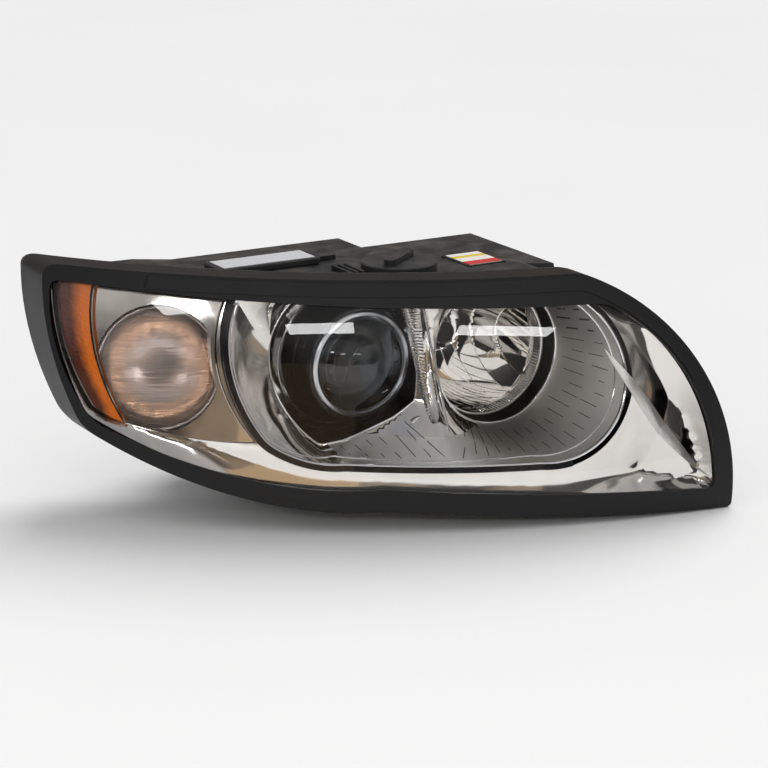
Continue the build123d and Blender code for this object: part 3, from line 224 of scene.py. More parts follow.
FACE_LINE = outline(
    [
        [(-180, 72.4), (-36.6, 70), (142.1, 69.7)],
        [(142.1, 69.7), (218.9, 5), (237.6, -103.4)],
        [(237.6, -103.4), (102.7, -96.5), (-8.1, -88.2)],
        [(-8.1, -88.2), (-107.9, -75), (-176.5, -37.7)],
        [(-176.5, -37.7), (-185.2, 5.9), (-180, 72.4)],
    ],
    [(0, 10), (1, 26), (2, 4), (4, 24)],
)
WINDOW = outline(
    [
        [(-178, 61.9), (-35.4, 53), (156.3, 48.4)],
        [(156.3, 48.4), (207.9, -1.8), (224.5, -87.9)],
        [(224.5, -87.9), (94, -80), (-7.1, -72.4)],
        [(-7.1, -72.4), (-106.9, -61.6), (-170.2, -33)],
        [(-170.2, -33), (-181.1, 0.9), (-178, 61.9)],
    ],
    [(0, 5), (1, 26), (2, 6), (4, 20)],
)
OVAL = outline(
    [
        [(-73.6, 54.5), (31.8, 56), (142.4, 51)],
        [(142.4, 51), (169.8, -7.4), (101.1, -61.8)],
        [(101.1, -61.8), (35.4, -60.9), (-26.5, -58.5)],
        [(-26.5, -58.5), (-53.3, -55), (-70.6, -44.5)],
        [(-70.6, -44.5), (-85, 8.9), (-73.6, 54.5)],
    ],
    [(1, 12), (4, 12)],
)
TURN_WINDOW = outline([
    [(-150, 57.6), (-114.3, 56.2), (-79, 54.6)],
    [(-79, 54.6), (-92, 9.1), (-77, -44)],
    [(-77, -44), (-116, -43), (-147.6, -35.7)],
    [(-147.6, -35.7), (-157, 11.9), (-150, 57.6)],
])
MARKER = outline([
    [(-169, 60.4), (-161.8, 60.3), (-153, 59.6)],
    [(-153, 59.6), (-160, 12.8), (-150.5, -34)],
    [(-150.5, -34), (-157.9, -30.3), (-164.6, -24.8)],
    [(-164.6, -24.8), (-173.4, 14.6), (-169, 60.4)],
])
RIM_LINE = grown(FACE_LINE, -3.1)
TRAY_LINE = grown(FACE_LINE, -10.2)


# ------------------------------------------------------------ meshes
def fill(outer, holes=(), step=4.0):
    """Even triangles that fill an outline with holes."""
    loops = [outer, *holes]
    low, high = outer.min(0), outer.max(0)
    rows = np.arange(low[1], high[1], step * 0.87)
    grid = np.array([
        (x + step / 2 * (row % 2), z)
        for row, z in enumerate(rows)
        for x in np.arange(low[0], high[0], step)
    ])
    wanted = inside(grid, outer)
    for hole in holes:
        wanted &= ~inside(grid, hole)
    for loop in loops:
        wanted &= distance(grid, loop) > step * 0.5
    points = [Vector(p) for loop in loops for p in loop] + [Vector(p) for p in grid[wanted]]
    edges, first = [], 0
    for loop in loops:
        count = len(loop)
        edges += [(first + i, first + (i + 1) % count) for i in range(count)]
        first += count
    verts, _, faces, *_ = delaunay_2d_cdt(points, edges, [], 0, 1e-6)
    verts = np.array([tuple(v) for v in verts])
    middles = np.array([verts[list(face)].mean(0) for face in faces])
    wanted = inside(middles, outer)
    for hole in holes:
        wanted &= ~inside(middles, hole)
    return verts, [face for face, good in zip(faces, wanted) if good]


class Shape:
    """A mesh in the making: points in millimetres from the face's centre, and painted faces."""

    def __init__(self):
        self.points = []
        self.faces = []
        self.paint = []

    def add(self, points, faces, paint=0):
        first = len(self.points)
        self.points += [tuple(p) for p in points]
        self.faces += [tuple(first + i for i in face) for face in faces]
        self.paint += [paint] * len(faces)

    def sheet(self, outer, holes, depth, step=4.0, paint=0):
        """A sheet under the crown; depth is a number or a function of the points."""
        flat, faces = fill(outer, holes, step)
        deep = depth(flat) if callable(depth) else np.full(len(flat), depth)
        self.add(np.stack([flat[:, 0], crown_y(flat[:, 0], flat[:, 1], deep), flat[:, 1]], 1), faces, paint)

    def wall(self, loop, front, back, paint=0):
        """The wall along an outline between two depths."""
        count = len(loop)
        rows = []
        for depth in (front, back):
            deep = depth(loop) if callable(depth) else np.full(count, depth)
            rows.append(np.stack([loop[:, 0], crown_y(loop[:, 0], loop[:, 1], deep), loop[:, 1]], 1))
        faces = [(i, (i + 1) % count, count + (i + 1) % count, count + i) for i in range(count)]
        self.add(np.vstack(rows), faces, paint)

    def slab(self, outer, holes, front, back, step=4.0, paint=0):
        """A closed plate that follows the crown."""
        self.sheet(outer, holes, front, step, paint)
        self.sheet(outer, holes, back, step, paint)
        for loop in (outer, *holes):
            self.wall(loop, front, back, paint)

    def lathe(self, axis, profile, count=96, start=0.0, sweep=360.0, closed=True, paint=0, wave=None):
        """A profile of (radius, depth) points turned about an axis."""
        origin, across, up, inward = axis
        whole = sweep >= 360
        steps = count if whole else count + 1
        rows = []
        for i in range(steps):
            turn = radians(start + sweep * i / count)
            spoke = across * cos(turn) + up * sin(turn)
            for radius, depth in profile:
                if wave:
                    radius, depth = wave(radius, depth, turn)
                rows.append(origin + spoke * radius + inward * depth)
        size = len(profile)
        spans = size if closed else size - 1
        faces = []
        for i in range(count):
            j = (i + 1) % steps
            faces += [
                (i * size + k, j * size + k, j * size + (k + 1) % size, i * size + (k + 1) % size)
                for k in range(spans)
            ]
        if closed and not whole:
            faces += [tuple(range(size)), tuple(range((steps - 1) * size, steps * size))[::-1]]
        self.add(rows, faces, paint)

    def bead(self, loop, depth, radius, paint=0, sides=8):
        """A round bead along a closed outline under the crown."""
        y = crown_y(loop[:, 0], loop[:, 1], depth)
        path = np.stack([loop[:, 0], y, loop[:, 1]], 1)
        ahead = np.roll(path, -1, axis=0) - np.roll(path, 1, axis=0)
        ahead /= np.linalg.norm(ahead, axis=1)[:, None]
        side = np.cross(ahead, np.array(OUTWARD))
        side /= np.linalg.norm(side, axis=1)[:, None]
        over = np.cross(side, ahead)
        turns = np.linspace(0, 2 * pi, sides, endpoint=False)
        rows = [path + radius * (side * cos(t) + over * sin(t)) for t in turns]
        count = len(path)
        faces = []
        for s in range(sides):
            n = (s + 1) % sides
            faces += [
                (s * count + i, s * count + (i + 1) % count, n * count + (i + 1) % count, n * count + i)
                for i in range(count)
            ]
        self.add(np.vstack(rows), faces, paint)

    def block(self, corners, paint=0):
        """A box from its eight corners: four in front, then four behind."""
        self.add(corners, [(0, 1, 2, 3), (7, 6, 5, 4), (0, 4, 5, 1), (1, 5, 6, 2), (2, 6, 7, 3), (3, 7, 4, 0)], paint)

    def finish(self, name, body, nodes, slot, materials, bevel=0.0, sharp=35.0):
        """Makes the object, and says what it rides on and which CAD nodes it stands for."""
        mesh = bpy.data.meshes.new(name)
        bm = bmesh.new()
        verts = [bm.verts.new(CENTRE + Vector(p) * MM) for p in self.points]
        for face, paint in zip(self.faces, self.paint):
            corners = list(dict.fromkeys(face))
            made = bm.faces.new([verts[i] for i in corners])
            made.material_index = paint
            made.smooth = True
        bmesh.ops.remove_doubles(bm, verts=bm.verts, dist=2e-6)
        bmesh.ops.dissolve_degenerate(bm, edges=bm.edges, dist=1e-6)
        bmesh.ops.recalc_face_normals(bm, faces=bm.faces)
        for edge in bm.edges:
            if len(edge.link_faces) == 2 and edge.calc_face_angle(0) > radians(sharp):
                edge.smooth = False
        bm.to_mesh(mesh)
        bm.free()
        for material in materials:
            mesh.materials.append(finish_of(material))
        piece = bpy.data.objects.new(name, mesh)
        bpy.context.scene.collection.objects.link(piece)
        if bevel:
            edge_bevel = piece.modifiers.new("edges", "BEVEL")
            edge_bevel.width = bevel * MM
            edge_bevel.segments = 2
            edge_bevel.limit_method = "ANGLE"
            edge_bevel.angle_limit = radians(40)
            edge_bevel.harden_normals = True
        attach(piece, body)
        if nodes:
            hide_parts(*nodes)
        return piece


def beam(x, z):
    """A lamp's axis, straight to the rear."""
    return Vector((x, 0, z)), Vector((1, 0, 0)), Vector((0, 0, 1)), Vector((0, 1, 0))


LOW, HIGH = beam(LOW_X, LOW_Z), beam(HIGH_X, HIGH_Z)
TURN = (TURN_AT, ACROSS, ACROSS.cross(TURN_IN), TURN_IN)


# ------------------------------------------------------------ shader node groups
def new_group(name, inputs, outputs):
    group = bpy.data.node_groups.new(name, "ShaderNodeTree")
    for label, kind, value in inputs:
        socket = group.interface.new_socket(label, in_out="INPUT", socket_type=kind)
        if value is not None:
            socket.default_value = value
    for label, kind in outputs:
        group.interface.new_socket(label, in_out="OUTPUT", socket_type=kind)
    return group, group.nodes.new("NodeGroupInput"), group.nodes.new("NodeGroupOutput")


def noise(tree, scale, detail=3.0, vector=None, stretch=None):
    """A noise texture in the object's own space, stretched where it says so."""
    node = tree.nodes.new("ShaderNodeTexNoise")
    node.inputs["Detail"].default_value = detail
    if hasattr(scale, "node"):
        tree.links.new(scale, node.inputs["Scale"])
    else:
        node.inputs["Scale"].default_value = scale
    place = vector or tree.nodes.new("ShaderNodeTexCoord").outputs["Object"]
    if stretch:
        mapping = tree.nodes.new("ShaderNodeMapping")
        mapping.inputs["Scale"].default_value = stretch
        tree.links.new(place, mapping.inputs["Vector"])
        place = mapping.outputs["Vector"]
    tree.links.new(place, node.inputs["Vector"])
    return node.outputs["Fac"]


def math_node(tree, operation, a, b):
    node = tree.nodes.new("ShaderNodeMath")
    node.operation = operation
    for socket, value in zip(node.inputs, (a, b)):
        if hasattr(value, "node"):
            tree.links.new(value, socket)
        else:
            socket.default_value = value
    return node.outputs[0]


def mixed(tree, factor, a, b):
    """A colour between a and b."""
    node = tree.nodes.new("ShaderNodeMix")
    node.data_type = "RGBA"
    tree.links.new(factor, node.inputs["Factor"])
    for socket, value in ((node.inputs["A"], a), (node.inputs["B"], b)):
        if hasattr(value, "node"):
            tree.links.new(value, socket)
        else:
            socket.default_value = (*value[:3], 1)
    return node.outputs["Result"]


def ranged(tree, value, low, high, to_low, to_high):
    node = tree.nodes.new("ShaderNodeMapRange")
    tree.links.new(value, node.inputs["Value"])
    for label, number in zip(("From Min", "From Max", "To Min", "To Max"), (low, high, to_low, to_high)):
        node.inputs[label].default_value = number
    return node.outputs["Result"]


def moulded_group():
    """Fine grain of a moulded or painted surface, with slow waves under it."""
    if "moulded_surface" in bpy.data.node_groups:
        return bpy.data.node_groups["moulded_surface"]
    group, given, out = new_group(
        "moulded_surface",
        [
            ("Grain Scale", "NodeSocketFloat", 1500.0),
            ("Grain", "NodeSocketFloat", 0.5),
            ("Waves", "NodeSocketFloat", 0.5),
            ("Roughness", "NodeSocketFloat", 0.4),
            ("Variation", "NodeSocketFloat", 0.1),
        ],
        [("Height", "NodeSocketFloat"), ("Roughness", "NodeSocketFloat")],
    )
    grain = noise(group, given.outputs["Grain Scale"], 2.0)
    waves = noise(group, 45.0, 1.0)
    smudge = noise(group, 28.0, 4.0)
    fine = math_node(group, "MULTIPLY", grain, given.outputs["Grain"])
    slow = math_node(group, "MULTIPLY", waves, given.outputs["Waves"])
    group.links.new(math_node(group, "ADD", fine, slow), out.inputs["Height"])
    spread = math_node(group, "MULTIPLY", math_node(group, "SUBTRACT", smudge, 0.5), given.outputs["Variation"])
    group.links.new(math_node(group, "ADD", given.outputs["Roughness"], spread), out.inputs["Roughness"])
    return group


def dusty_group():
    """A colour with settled dust in patches on what faces up."""
    if "settled_dust" in bpy.data.node_groups:
        return bpy.data.node_groups["settled_dust"]
    group, given, out = new_group(
        "settled_dust",
        [
            ("Colour", "NodeSocketColor", (0.03, 0.03, 0.03, 1)),
            ("Dust", "NodeSocketColor", (0.25, 0.23, 0.2, 1)),
            ("Amount", "NodeSocketFloat", 0.3),
        ],
        [("Colour", "NodeSocketColor"), ("Mask", "NodeSocketFloat")],
    )
    geometry = group.nodes.new("ShaderNodeNewGeometry")
    apart = group.nodes.new("ShaderNodeSeparateXYZ")
    group.links.new(geometry.outputs["Normal"], apart.inputs["Vector"])
    upward = ranged(group, apart.outputs["Z"], 0.2, 1.0, 0.15, 1.0)
    patches = ranged(group, noise(group, 60.0, 6.0), 0.4, 0.75, 0.0, 1.0)
    mask = math_node(group, "MULTIPLY", math_node(group, "MULTIPLY", upward, patches), given.outputs["Amount"])
    group.links.new(mask, out.inputs["Mask"])
    group.links.new(mixed(group, mask, given.outputs["Colour"], given.outputs["Dust"]), out.inputs["Colour"])
    return group


def placed(tree, group, **values):
    node = tree.nodes.new("ShaderNodeGroup")
    node.node_tree = group
    for label, value in values.items():
        node.inputs[label.replace("_", " ")].default_value = value
    return node


# ------------------------------------------------------------ materials
def look_name(name):
    """The frame's own materials have the plain names."""
    return f"{name}_look"


def blank(name):
    material = bpy.data.materials.new(look_name(name))
    material.use_nodes = True
    tree = material.node_tree
    return material, tree, tree.nodes["Principled BSDF"]


def bumped(tree, shader, height, strength, depth=0.0002):
    bump = tree.nodes.new("ShaderNodeBump")
    bump.inputs["Strength"].default_value = strength
    bump.inputs["Distance"].default_value = depth
    tree.links.new(height, bump.inputs["Height"])
    tree.links.new(bump.outputs["Normal"], shader.inputs["Normal"])


def metallised(name, colour, roughness, waves, grain=0.0, variation=0.05):
    """Vacuum-metallised plastic, or bright metal."""
    material, tree, shader = blank(name)
    surface = placed(
        tree, moulded_group(), Grain=grain, Waves=waves, Roughness=roughness, Variation=variation
    )
    tint = tuple(c * 0.86 for c in colour)
    tree.links.new(mixed(tree, noise(tree, 22.0, 5.0), tint, colour), shader.inputs["Base Color"])
    shader.inputs["Metallic"].default_value = 1.0
    tree.links.new(surface.outputs["Roughness"], shader.inputs["Roughness"])
    bumped(tree, shader, surface.outputs["Height"], 0.35, 0.0006)
    return material


def plastic(name, colour, roughness, grain=0.5, waves=0.2, dust=0.15, scale=1500.0, coat=0.0):
    """Moulded plastic or rubber."""
    material, tree, shader = blank(name)
    surface = placed(
        tree, moulded_group(), Grain_Scale=scale, Grain=grain, Waves=waves, Roughness=roughness, Variation=0.12
    )
    dusty = placed(tree, dusty_group(), Colour=(*colour, 1), Amount=dust)
    tree.links.new(dusty.outputs["Colour"], shader.inputs["Base Color"])
    tree.links.new(surface.outputs["Roughness"], shader.inputs["Roughness"])
    shader.inputs["Coat Weight"].default_value = coat
    shader.inputs["Specular IOR Level"].default_value = 0.35
    bumped(tree, shader, surface.outputs["Height"], 0.25, 0.0003)
    return material


def clear(name, colour, roughness, ior=1.49, lets_light_through=True):
    """Clear glass or plastic; lamps light what is behind it."""
    material, tree, shader = blank(name)
    shader.inputs["Base Color"].default_value = (*colour, 1)
    shader.inputs["Roughness"].default_value = roughness
    shader.inputs["IOR"].default_value = ior
    shader.inputs["Transmission Weight"].default_value = 1.0
    if lets_light_through:
        path = tree.nodes.new("ShaderNodeLightPath")
        through = tree.nodes.new("ShaderNodeBsdfTransparent")
        choice = tree.nodes.new("ShaderNodeMixShader")
        tree.links.new(path.outputs["Is Shadow Ray"], choice.inputs[0])
        tree.links.new(shader.outputs[0], choice.inputs[1])
        tree.links.new(through.outputs[0], choice.inputs[2])
        tree.links.new(choice.outputs[0], tree.nodes["Material Output"].inputs["Surface"])
    return material


def frosted(name):
    """Turn signal's lens: clear plastic with fine optics across it."""
    material = clear(name, (0.9, 0.82, 0.8), 0.3)
    tree = material.node_tree
    shader = tree.nodes["Principled BSDF"]
    streaks = noise(tree, 260.0, 3.0, stretch=(0.12, 0.12, 1.0))
    bumped(tree, shader, streaks, 0.8, 0.0012)
    return material


def amber(name):
    """Prism reflector: orange where it faces ahead, with painted shade that makes it brown-red towards its outer edge,
    where it turns away.
    """
    material, tree, shader = blank(name)
    across = tree.nodes.new("ShaderNodeAttribute")
    across.attribute_name = "across"
    cells = tree.nodes.new("ShaderNodeTexVoronoi")
    cells.inputs["Scale"].default_value = 420.0
    tree.links.new(tree.nodes.new("ShaderNodeTexCoord").outputs["Object"], cells.inputs["Vector"])
    # Painted shade: dark brown-red near the marker's outer edge, blending to orange near its inner edge.
    share = math_node(tree, "ADD", across.outputs["Fac"], math_node(tree, "MULTIPLY", noise(tree, 90.0), 0.25))
    edge = ranged(tree, share, 0.45, 0.85, 0.0, 1.0)
    tree.links.new(mixed(tree, edge, (0.085, 0.012, 0.004), (0.8, 0.17, 0.004)), shader.inputs["Base Color"])
    shader.inputs["Roughness"].default_value = 0.16
    shader.inputs["Coat Weight"].default_value = 0.6
    bumped(tree, shader, cells.outputs["Distance"], 0.3, 0.0008)
    return material


def label(name, ground, stripes):
    """Paper or foil label with plain colour bands across it."""
    material, tree, shader = blank(name)
    apart = tree.nodes.new("ShaderNodeSeparateXYZ")
    tree.links.new(tree.nodes.new("ShaderNodeTexCoord").outputs["Generated"], apart.inputs["Vector"])
    colour = None
    for low, high, paint in stripes:
        above = math_node(tree, "GREATER_THAN", apart.outputs["Y"], low)
        below = math_node(tree, "LESS_THAN", apart.outputs["Y"], high)
        colour = mixed(tree, math_node(tree, "MULTIPLY", above, below), colour or ground, paint)
    worn = ranged(tree, noise(tree, 300.0, 4.0), 0.55, 0.8, 0.0, 0.35)
    tree.links.new(mixed(tree, worn, colour or ground, (0.3, 0.3, 0.29)), shader.inputs["Base Color"])
    shader.inputs["Roughness"].default_value = 0.45
    return material


MATERIALS = {
    "clear_cover": lambda: clear("clear_cover", (1, 1, 1), 0.0, 1.33),
    "bezel_chrome": lambda: metallised("bezel_chrome", tuple(look().chrome), 0.07, 0.9),
    "satin_band": lambda: metallised("satin_band", tuple(look().satin), 0.36, 0.3, 0.3, 0.1),
    "reflector": lambda: metallised("reflector", (0.93, 0.91, 0.88), 0.03, 0.25),
    # Painted shade: the projector's mirror reflector is made near black to stand for the darkness inside the lamp.
    "reflector_painted_shade": lambda: metallised("reflector_painted_shade", (0.06, 0.06, 0.065), 0.12, 0.4),
    "rim_bright": lambda: metallised("rim_bright", (0.95, 0.95, 0.96), 0.12, 0.2),
    "barrel_grey": lambda: metallised("barrel_grey", (0.13, 0.135, 0.14), 0.22, 0.8, 0.1),
    "lens_ring": lambda: metallised("lens_ring", (0.72, 0.74, 0.77), 0.3, 0.1, 0.1),
    "steel": lambda: metallised("steel", (0.56, 0.55, 0.53), 0.3, 0.2, 0.2, 0.2),
    "brass": lambda: metallised("brass", (0.8, 0.62, 0.3), 0.25, 0.1, 0.1),
    "black_frame": lambda: plastic("black_frame", tuple(look().frame_black), 0.42, 0.35, 0.15, 0.02, 2200),
    "gloss_black": lambda: plastic("gloss_black", (0.006, 0.006, 0.009), 0.12, 0.05, 0.2, 0.0),
    # Painted shade for the satin band's slots; also used on the clear fin's foot.
    "slot_dark": lambda: plastic("slot_dark", (0.035, 0.032, 0.03), 0.5, 0.2, 0.1, 0.0),
    "housing_black": lambda: plastic("housing_black", (0.022, 0.022, 0.024), 0.5, 0.9, 0.3, 0.3, 900),
    "motor_black": lambda: plastic("motor_black", (0.03, 0.03, 0.032), 0.45, 0.6, 0.2, 0.15),
    "socket_grey": lambda: plastic("socket_grey", (0.16, 0.16, 0.17), 0.5, 0.6, 0.2, 0.15),
    "inner_plastic": lambda: plastic("inner_plastic", (0.09, 0.09, 0.1), 0.5, 0.5, 0.2, 0.0),
    "nylon": lambda: plastic("nylon", (0.78, 0.75, 0.68), 0.38, 0.2, 0.2, 0.05),
    "rubber": lambda: plastic("rubber", (0.02, 0.02, 0.02), 0.75, 0.9, 0.2, 0.2, 700),
    "shield_black": lambda: plastic("shield_black", (0.012, 0.012, 0.012), 0.4, 0.2, 0.1, 0.0),
    "lens_glass": lambda: clear("lens_glass", (0.62, 0.68, 0.74), 0.0, 1.5),
    "clear_inner": lambda: clear("clear_inner", (0.98, 0.99, 1.0), 0.02),
    "bulb_glass": lambda: clear("bulb_glass", (0.97, 0.97, 0.98), 0.0),
    "amber_glass": lambda: clear("amber_glass", (0.93, 0.66, 0.45), 0.05),
    "frosted_lens": lambda: frosted("frosted_lens"),
    "amber": lambda: amber("amber"),
    "label_silver": lambda: label("label_silver", (0.6, 0.6, 0.62), []),
    "label_white": lambda: label(
        "label_white", (0.82, 0.8, 0.75), [(0.0, 0.3, (0.6, 0.03, 0.03)), (0.62, 0.8, (0.75, 0.55, 0.05))]
    ),
}


def finish_of(name):
    """The material of that name, made the first time it is asked for."""
    return bpy.data.materials.get(look_name(name)) or MATERIALS[name]()


# ------------------------------------------------------------ settings
class HeadlightLook(bpy.types.PropertyGroup):
    """Sizes and colours that a user would change."""

    chrome: FloatVectorProperty(
        name="Chrome", description="Colour of the metallised bezels", subtype="COLOR",
        default=(0.86, 0.83, 0.79), min=0, max=1,
    )
    satin: FloatVectorProperty(
        name="Satin band", description="Colour of the satin band round the lamps", subtype="COLOR",
        default=(0.80, 0.78, 0.75), min=0, max=1,
    )
    frame_black: FloatVectorProperty(
        name="Frame", description="Colour of the outer frame", subtype="COLOR",
        default=(0.008, 0.008, 0.009), min=0, max=1,
    )
    slot_pitch: FloatProperty(
        name="Slot pitch", description="Distance between the slots in the satin band, in millimetres",
        default=9.5, min=4, max=30,
    )
    flutes: IntProperty(
        name="Flutes", description="Flutes in the ring inside the high beam's rim", default=132, min=24, max=360
    )
    bead_radius: FloatProperty(
        name="Rim bead", description="Radius of the bright beads round the lamps, in millimetres",
        default=0.9, min=0.2, max=3,
    )


def look():
    return bpy.context.scene.headlight_look


# ------------------------------------------------------------ frame and cover
class HEADLIGHT_OT_frame(bpy.types.Operator):
    """Black frame round the cover, with its raised strip"""

    bl_idname = "headlight.frame"
    bl_label = "Frame"

    def execute(self, context):
        shape = Shape()
        skirt = grown(FACE_LINE, -2.8)
        shape.sheet(FACE_LINE, [WINDOW], -2.2)
        shape.wall(FACE_LINE, -2.2, 18)
        shape.wall(WINDOW, -2.2, 0.4)
        shape.sheet(skirt, [WINDOW], 0.4)
        shape.wall(skirt, 0.4, 18)
        shape.sheet(FACE_LINE, [skirt], 18)
        shape.finish("frame_black", "housing", ["lens_frame"], "black_frame", ["black_frame"], bevel=0.7)
        strip = band(
            grown(FACE_LINE, -1.2),
            grown(FACE_LINE, -11.0),
            lambda p: (p[:, 0] > -132 - 0.4 * (60 - p[:, 1])) & (p[:, 1] > -12),
        )
        shape = Shape()
        shape.slab(strip, [], -3.8, -2.3)
        shape.finish("frame_strip", "housing", ["upper_trim"], "black_trim", ["black_frame"], bevel=1.0)
        return {"FINISHED"}


class HEADLIGHT_OT_cover(bpy.types.Operator):
    """Clear cover: one crowned sheet with a rim that reaches back to the seal"""

    bl_idname = "headlight.cover"
    bl_label = "Clear cover"

    def execute(self, context):
        wall = 3.0
        inner = grown(RIM_LINE, -wall)
        shape = Shape()
        shape.sheet(RIM_LINE, [], 0)
        shape.sheet(inner, [], wall)
        shape.wall(RIM_LINE, 0, 15)
        shape.wall(inner, wall, 15)
        shape.sheet(RIM_LINE, [inner], 15)
        shape.finish("cover_clear", "housing", ["outer_lens"], "clear_cover", ["clear_cover"])
        return {"FINISHED"}


# ------------------------------------------------------------ bezels
def cut_short(point, fence):
    """The point, or the place on the way to it from the low beam's axis where the fence stands."""
    middle = np.array([LOW_X, LOW_Z])
    reach = point - middle
    share = 1.0
    for start, end in zip(fence, fence[1:]):
        off, run = np.array(start) - middle, np.subtract(end, start)
        turn = reach[0] * run[1] - reach[1] * run[0]
        if abs(turn) < 1e-9:
            continue
        along = (off[0] * run[1] - off[1] * run[0]) / turn
        beside = (off[0] * reach[1] - off[1] * reach[0]) / turn
        if 0 <= beside <= 1 and 0 < along < share:
            share = along
    return middle + reach * share


RIM_DEPTH = 10.0
FLOOR_DEPTH = 34.0
HIGH_FLOOR = 13.0  # the tray's edge round the high beam, behind the face's centre
LOW_SIDE = [(38, 70), (41, 10), (34.5, -21), (20, -32), (6, -39), (-12, -48), (-29, -52), (-70, -54)]
LOW_HOLE = held_in(circle(LOW_X, LOW_Z, 66.0), grown(OVAL, -7.0))
LOW_HOLE = np.array([cut_short(point, LOW_SIDE) for point in LOW_HOLE])
HIGH_HOLE = held_in(circle(HIGH_X, HIGH_Z, 50.5), grown(OVAL, -8.0))
LOW_HOLE, HIGH_HOLE = respaced(LOW_HOLE, 2.0), respaced(HIGH_HOLE, 2.0)


def depth_at(points, y):
    """How deep under the crown points lie that are this far back."""
    across = (points[:, 0] - CROWN.x) ** 2 + (points[:, 1] - CROWN.z) ** 2
    return FACE_RADIUS - np.sqrt((CROWN.y - y) ** 2 + across)


def tray_depth(points):
    """Depth of the oval tray: shallow at its rim, deep at the lamps."""
    outer, low, high = (distance(points, line) for line in (OVAL, LOW_HOLE, HIGH_HOLE))
    inner = np.minimum(low, high)
    share = (outer / np.maximum(outer + inner, 1e-6)) ** 1.15
    side = low / np.maximum(low + high, 1e-6)
    rim = crown_y(points[:, 0], points[:, 1], RIM_DEPTH + 1)
    floor = crown_y(points[:, 0], points[:, 1], FLOOR_DEPTH)
    floor = floor + (np.maximum(floor, HIGH_FLOOR) - floor) * side
    return depth_at(points, rim + (floor - rim) * share)


CREASE = [(154.4, 17.4), (192.2, -42), (231.7, -93)]


def wing_depth(points):
    """Depth of the outer bezel: it falls away from the oval, with a ridge down its inner end."""
    away = distance(points, OVAL)
    ridge_line = np.array([CREASE[0], CREASE[1], CREASE[2], CREASE[1]], float)
    ridge = np.exp(-distance(points, ridge_line) / 7.0)
    edge = np.clip(distance(points, TRAY_LINE) / 14.0, 0, 1)
    scoop = 7.0 * (away / 30.0) ** 1.3 * edge
    right = np.clip((points[:, 0] - 120) / 60, 0, 1)
    return RIM_DEPTH + np.minimum(scoop, 10.0) * (0.35 + 0.65 * right) - 2.0 * ridge * right


class HEADLIGHT_OT_bezels(bpy.types.Operator):
    """Metallised bezels, the satin band with its slots, and the black dividing strip"""

    bl_idname = "headlight.bezels"
    bl_label = "Bezels"

    def execute(self, context):
        self.outer_plate()
        self.divider()
        self.tray()
        return {"FINISHED"}

    def outer_plate(self):
        holes = [grown(OVAL, 4.4), grown(TURN_WINDOW, 0.5), grown(MARKER, 0.5)]
        shape = Shape()
        shape.slab(TRAY_LINE, holes, wing_depth, lambda p: wing_depth(p) + 1.8, step=3.0)
        right = np.array(arc_points((156, 15), (197, -38), (229, -84)))
        left = np.array(arc_points((229, -84), (188, -42), (156, 15)))
        shape.slab(
            np.vstack([right, left]), [], lambda p: wing_depth(p) - 0.5, lambda p: wing_depth(p) + 0.3, 3.0, 1
        )
        shape.finish(
            "outer_bezel_chrome", "housing", ["outer_bezel"], "bezel_chrome", ["bezel_chrome", "satin_band"], 0.4
        )

    def divider(self):
        def left_and_below(points):
            return (points[:, 0] < 125) & (points[:, 1] < 51)

        strip = band(grown(OVAL, 4.0), grown(OVAL, 0.6), left_and_below)
        shape = Shape()
        shape.slab(strip, [], 7.6, 16)
        shape.finish("divider_black", "housing", ["divider_strip"], "black_trim", ["gloss_black"], 0.5)

    def tray(self):
        shape = Shape()
        flat, faces = fill(grown(OVAL, -0.6), [LOW_HOLE, HIGH_HOLE], 3.0)
        y = crown_y(flat[:, 0], flat[:, 1], tray_depth(flat))
        front = np.stack([flat[:, 0], y, flat[:, 1]], 1)
        for face in faces:
            x, z = flat[list(face)].mean(0)
            satin = x > 118 or (z < -44 and x > -24)
            shape.add(front[list(face)], [(0, 1, 2)], 1 if satin else 0)
        shape.wall(OVAL, RIM_DEPTH + 1, 34)
        for hole in (LOW_HOLE, HIGH_HOLE):
            shape.wall(hole, tray_depth, lambda p: tray_depth(p) + 1.5)
        bead = look().bead_radius
        shape.bead(grown(OVAL, -0.3), RIM_DEPTH, bead * 1.3, 2)
        shape.bead(grown(OVAL, -3.2), tray_depth(grown(OVAL, -3.2)), bead * 0.7, 2)
        for hole in (LOW_HOLE, HIGH_HOLE):
            shape.bead(hole, tray_depth(hole), bead * 0.7, 2)
        shape.finish(
            "lamp_bezel", "housing", ["main_bezel"], "bezel_chrome", ["bezel_chrome", "satin_band", "rim_bright"]
        )
        self.slots()

    def slots(self):
        """Dark strips that run down the satin band towards the lamps: painted shade laid on the band where its slots
        are.
        """
        rim = respaced(grown(OVAL, -4.0), look().slot_pitch)
        holes = np.vstack([LOW_HOLE, HIGH_HOLE])
        dice = random.Random(4)
        shape = Shape()
        for start in rim:
            x, z = start
            if not (x > 150 or (z < -40 and x > -20)):
                continue
            end = holes[np.argmin(np.hypot(*(holes - start).T))]
            wide = 1.5 if z > 15 else 0.55
            for low, high in ((0.04, 0.3), (0.42, 0.75)):
                low += dice.uniform(0, 0.12)
                high += dice.uniform(-0.08, 0.16)
                run = np.array([start + (end - start) * t for t in np.linspace(low, high, 5)])
                side = np.array([start[1] - end[1], end[0] - start[0]])
                side = side / np.hypot(*side) * wide / 2
                flat = np.vstack([run + side, run - side])
                y = crown_y(flat[:, 0], flat[:, 1], tray_depth(flat) - 0.25)
                faces = [(i, i + 1, 6 + i, 5 + i) for i in range(4)]
                shape.add(np.stack([flat[:, 0], y, flat[:, 1]], 1), faces)
        # The strips lie just proud of the band and carry the slots' painted shade; no slots are cut.
        slots = shape.finish("bezel_slots_painted_shade", "housing", [], "black_trim", ["slot_dark"])
        thick = slots.modifiers.new("thickness", "SOLIDIFY")
        thick.thickness = 0.3 * MM


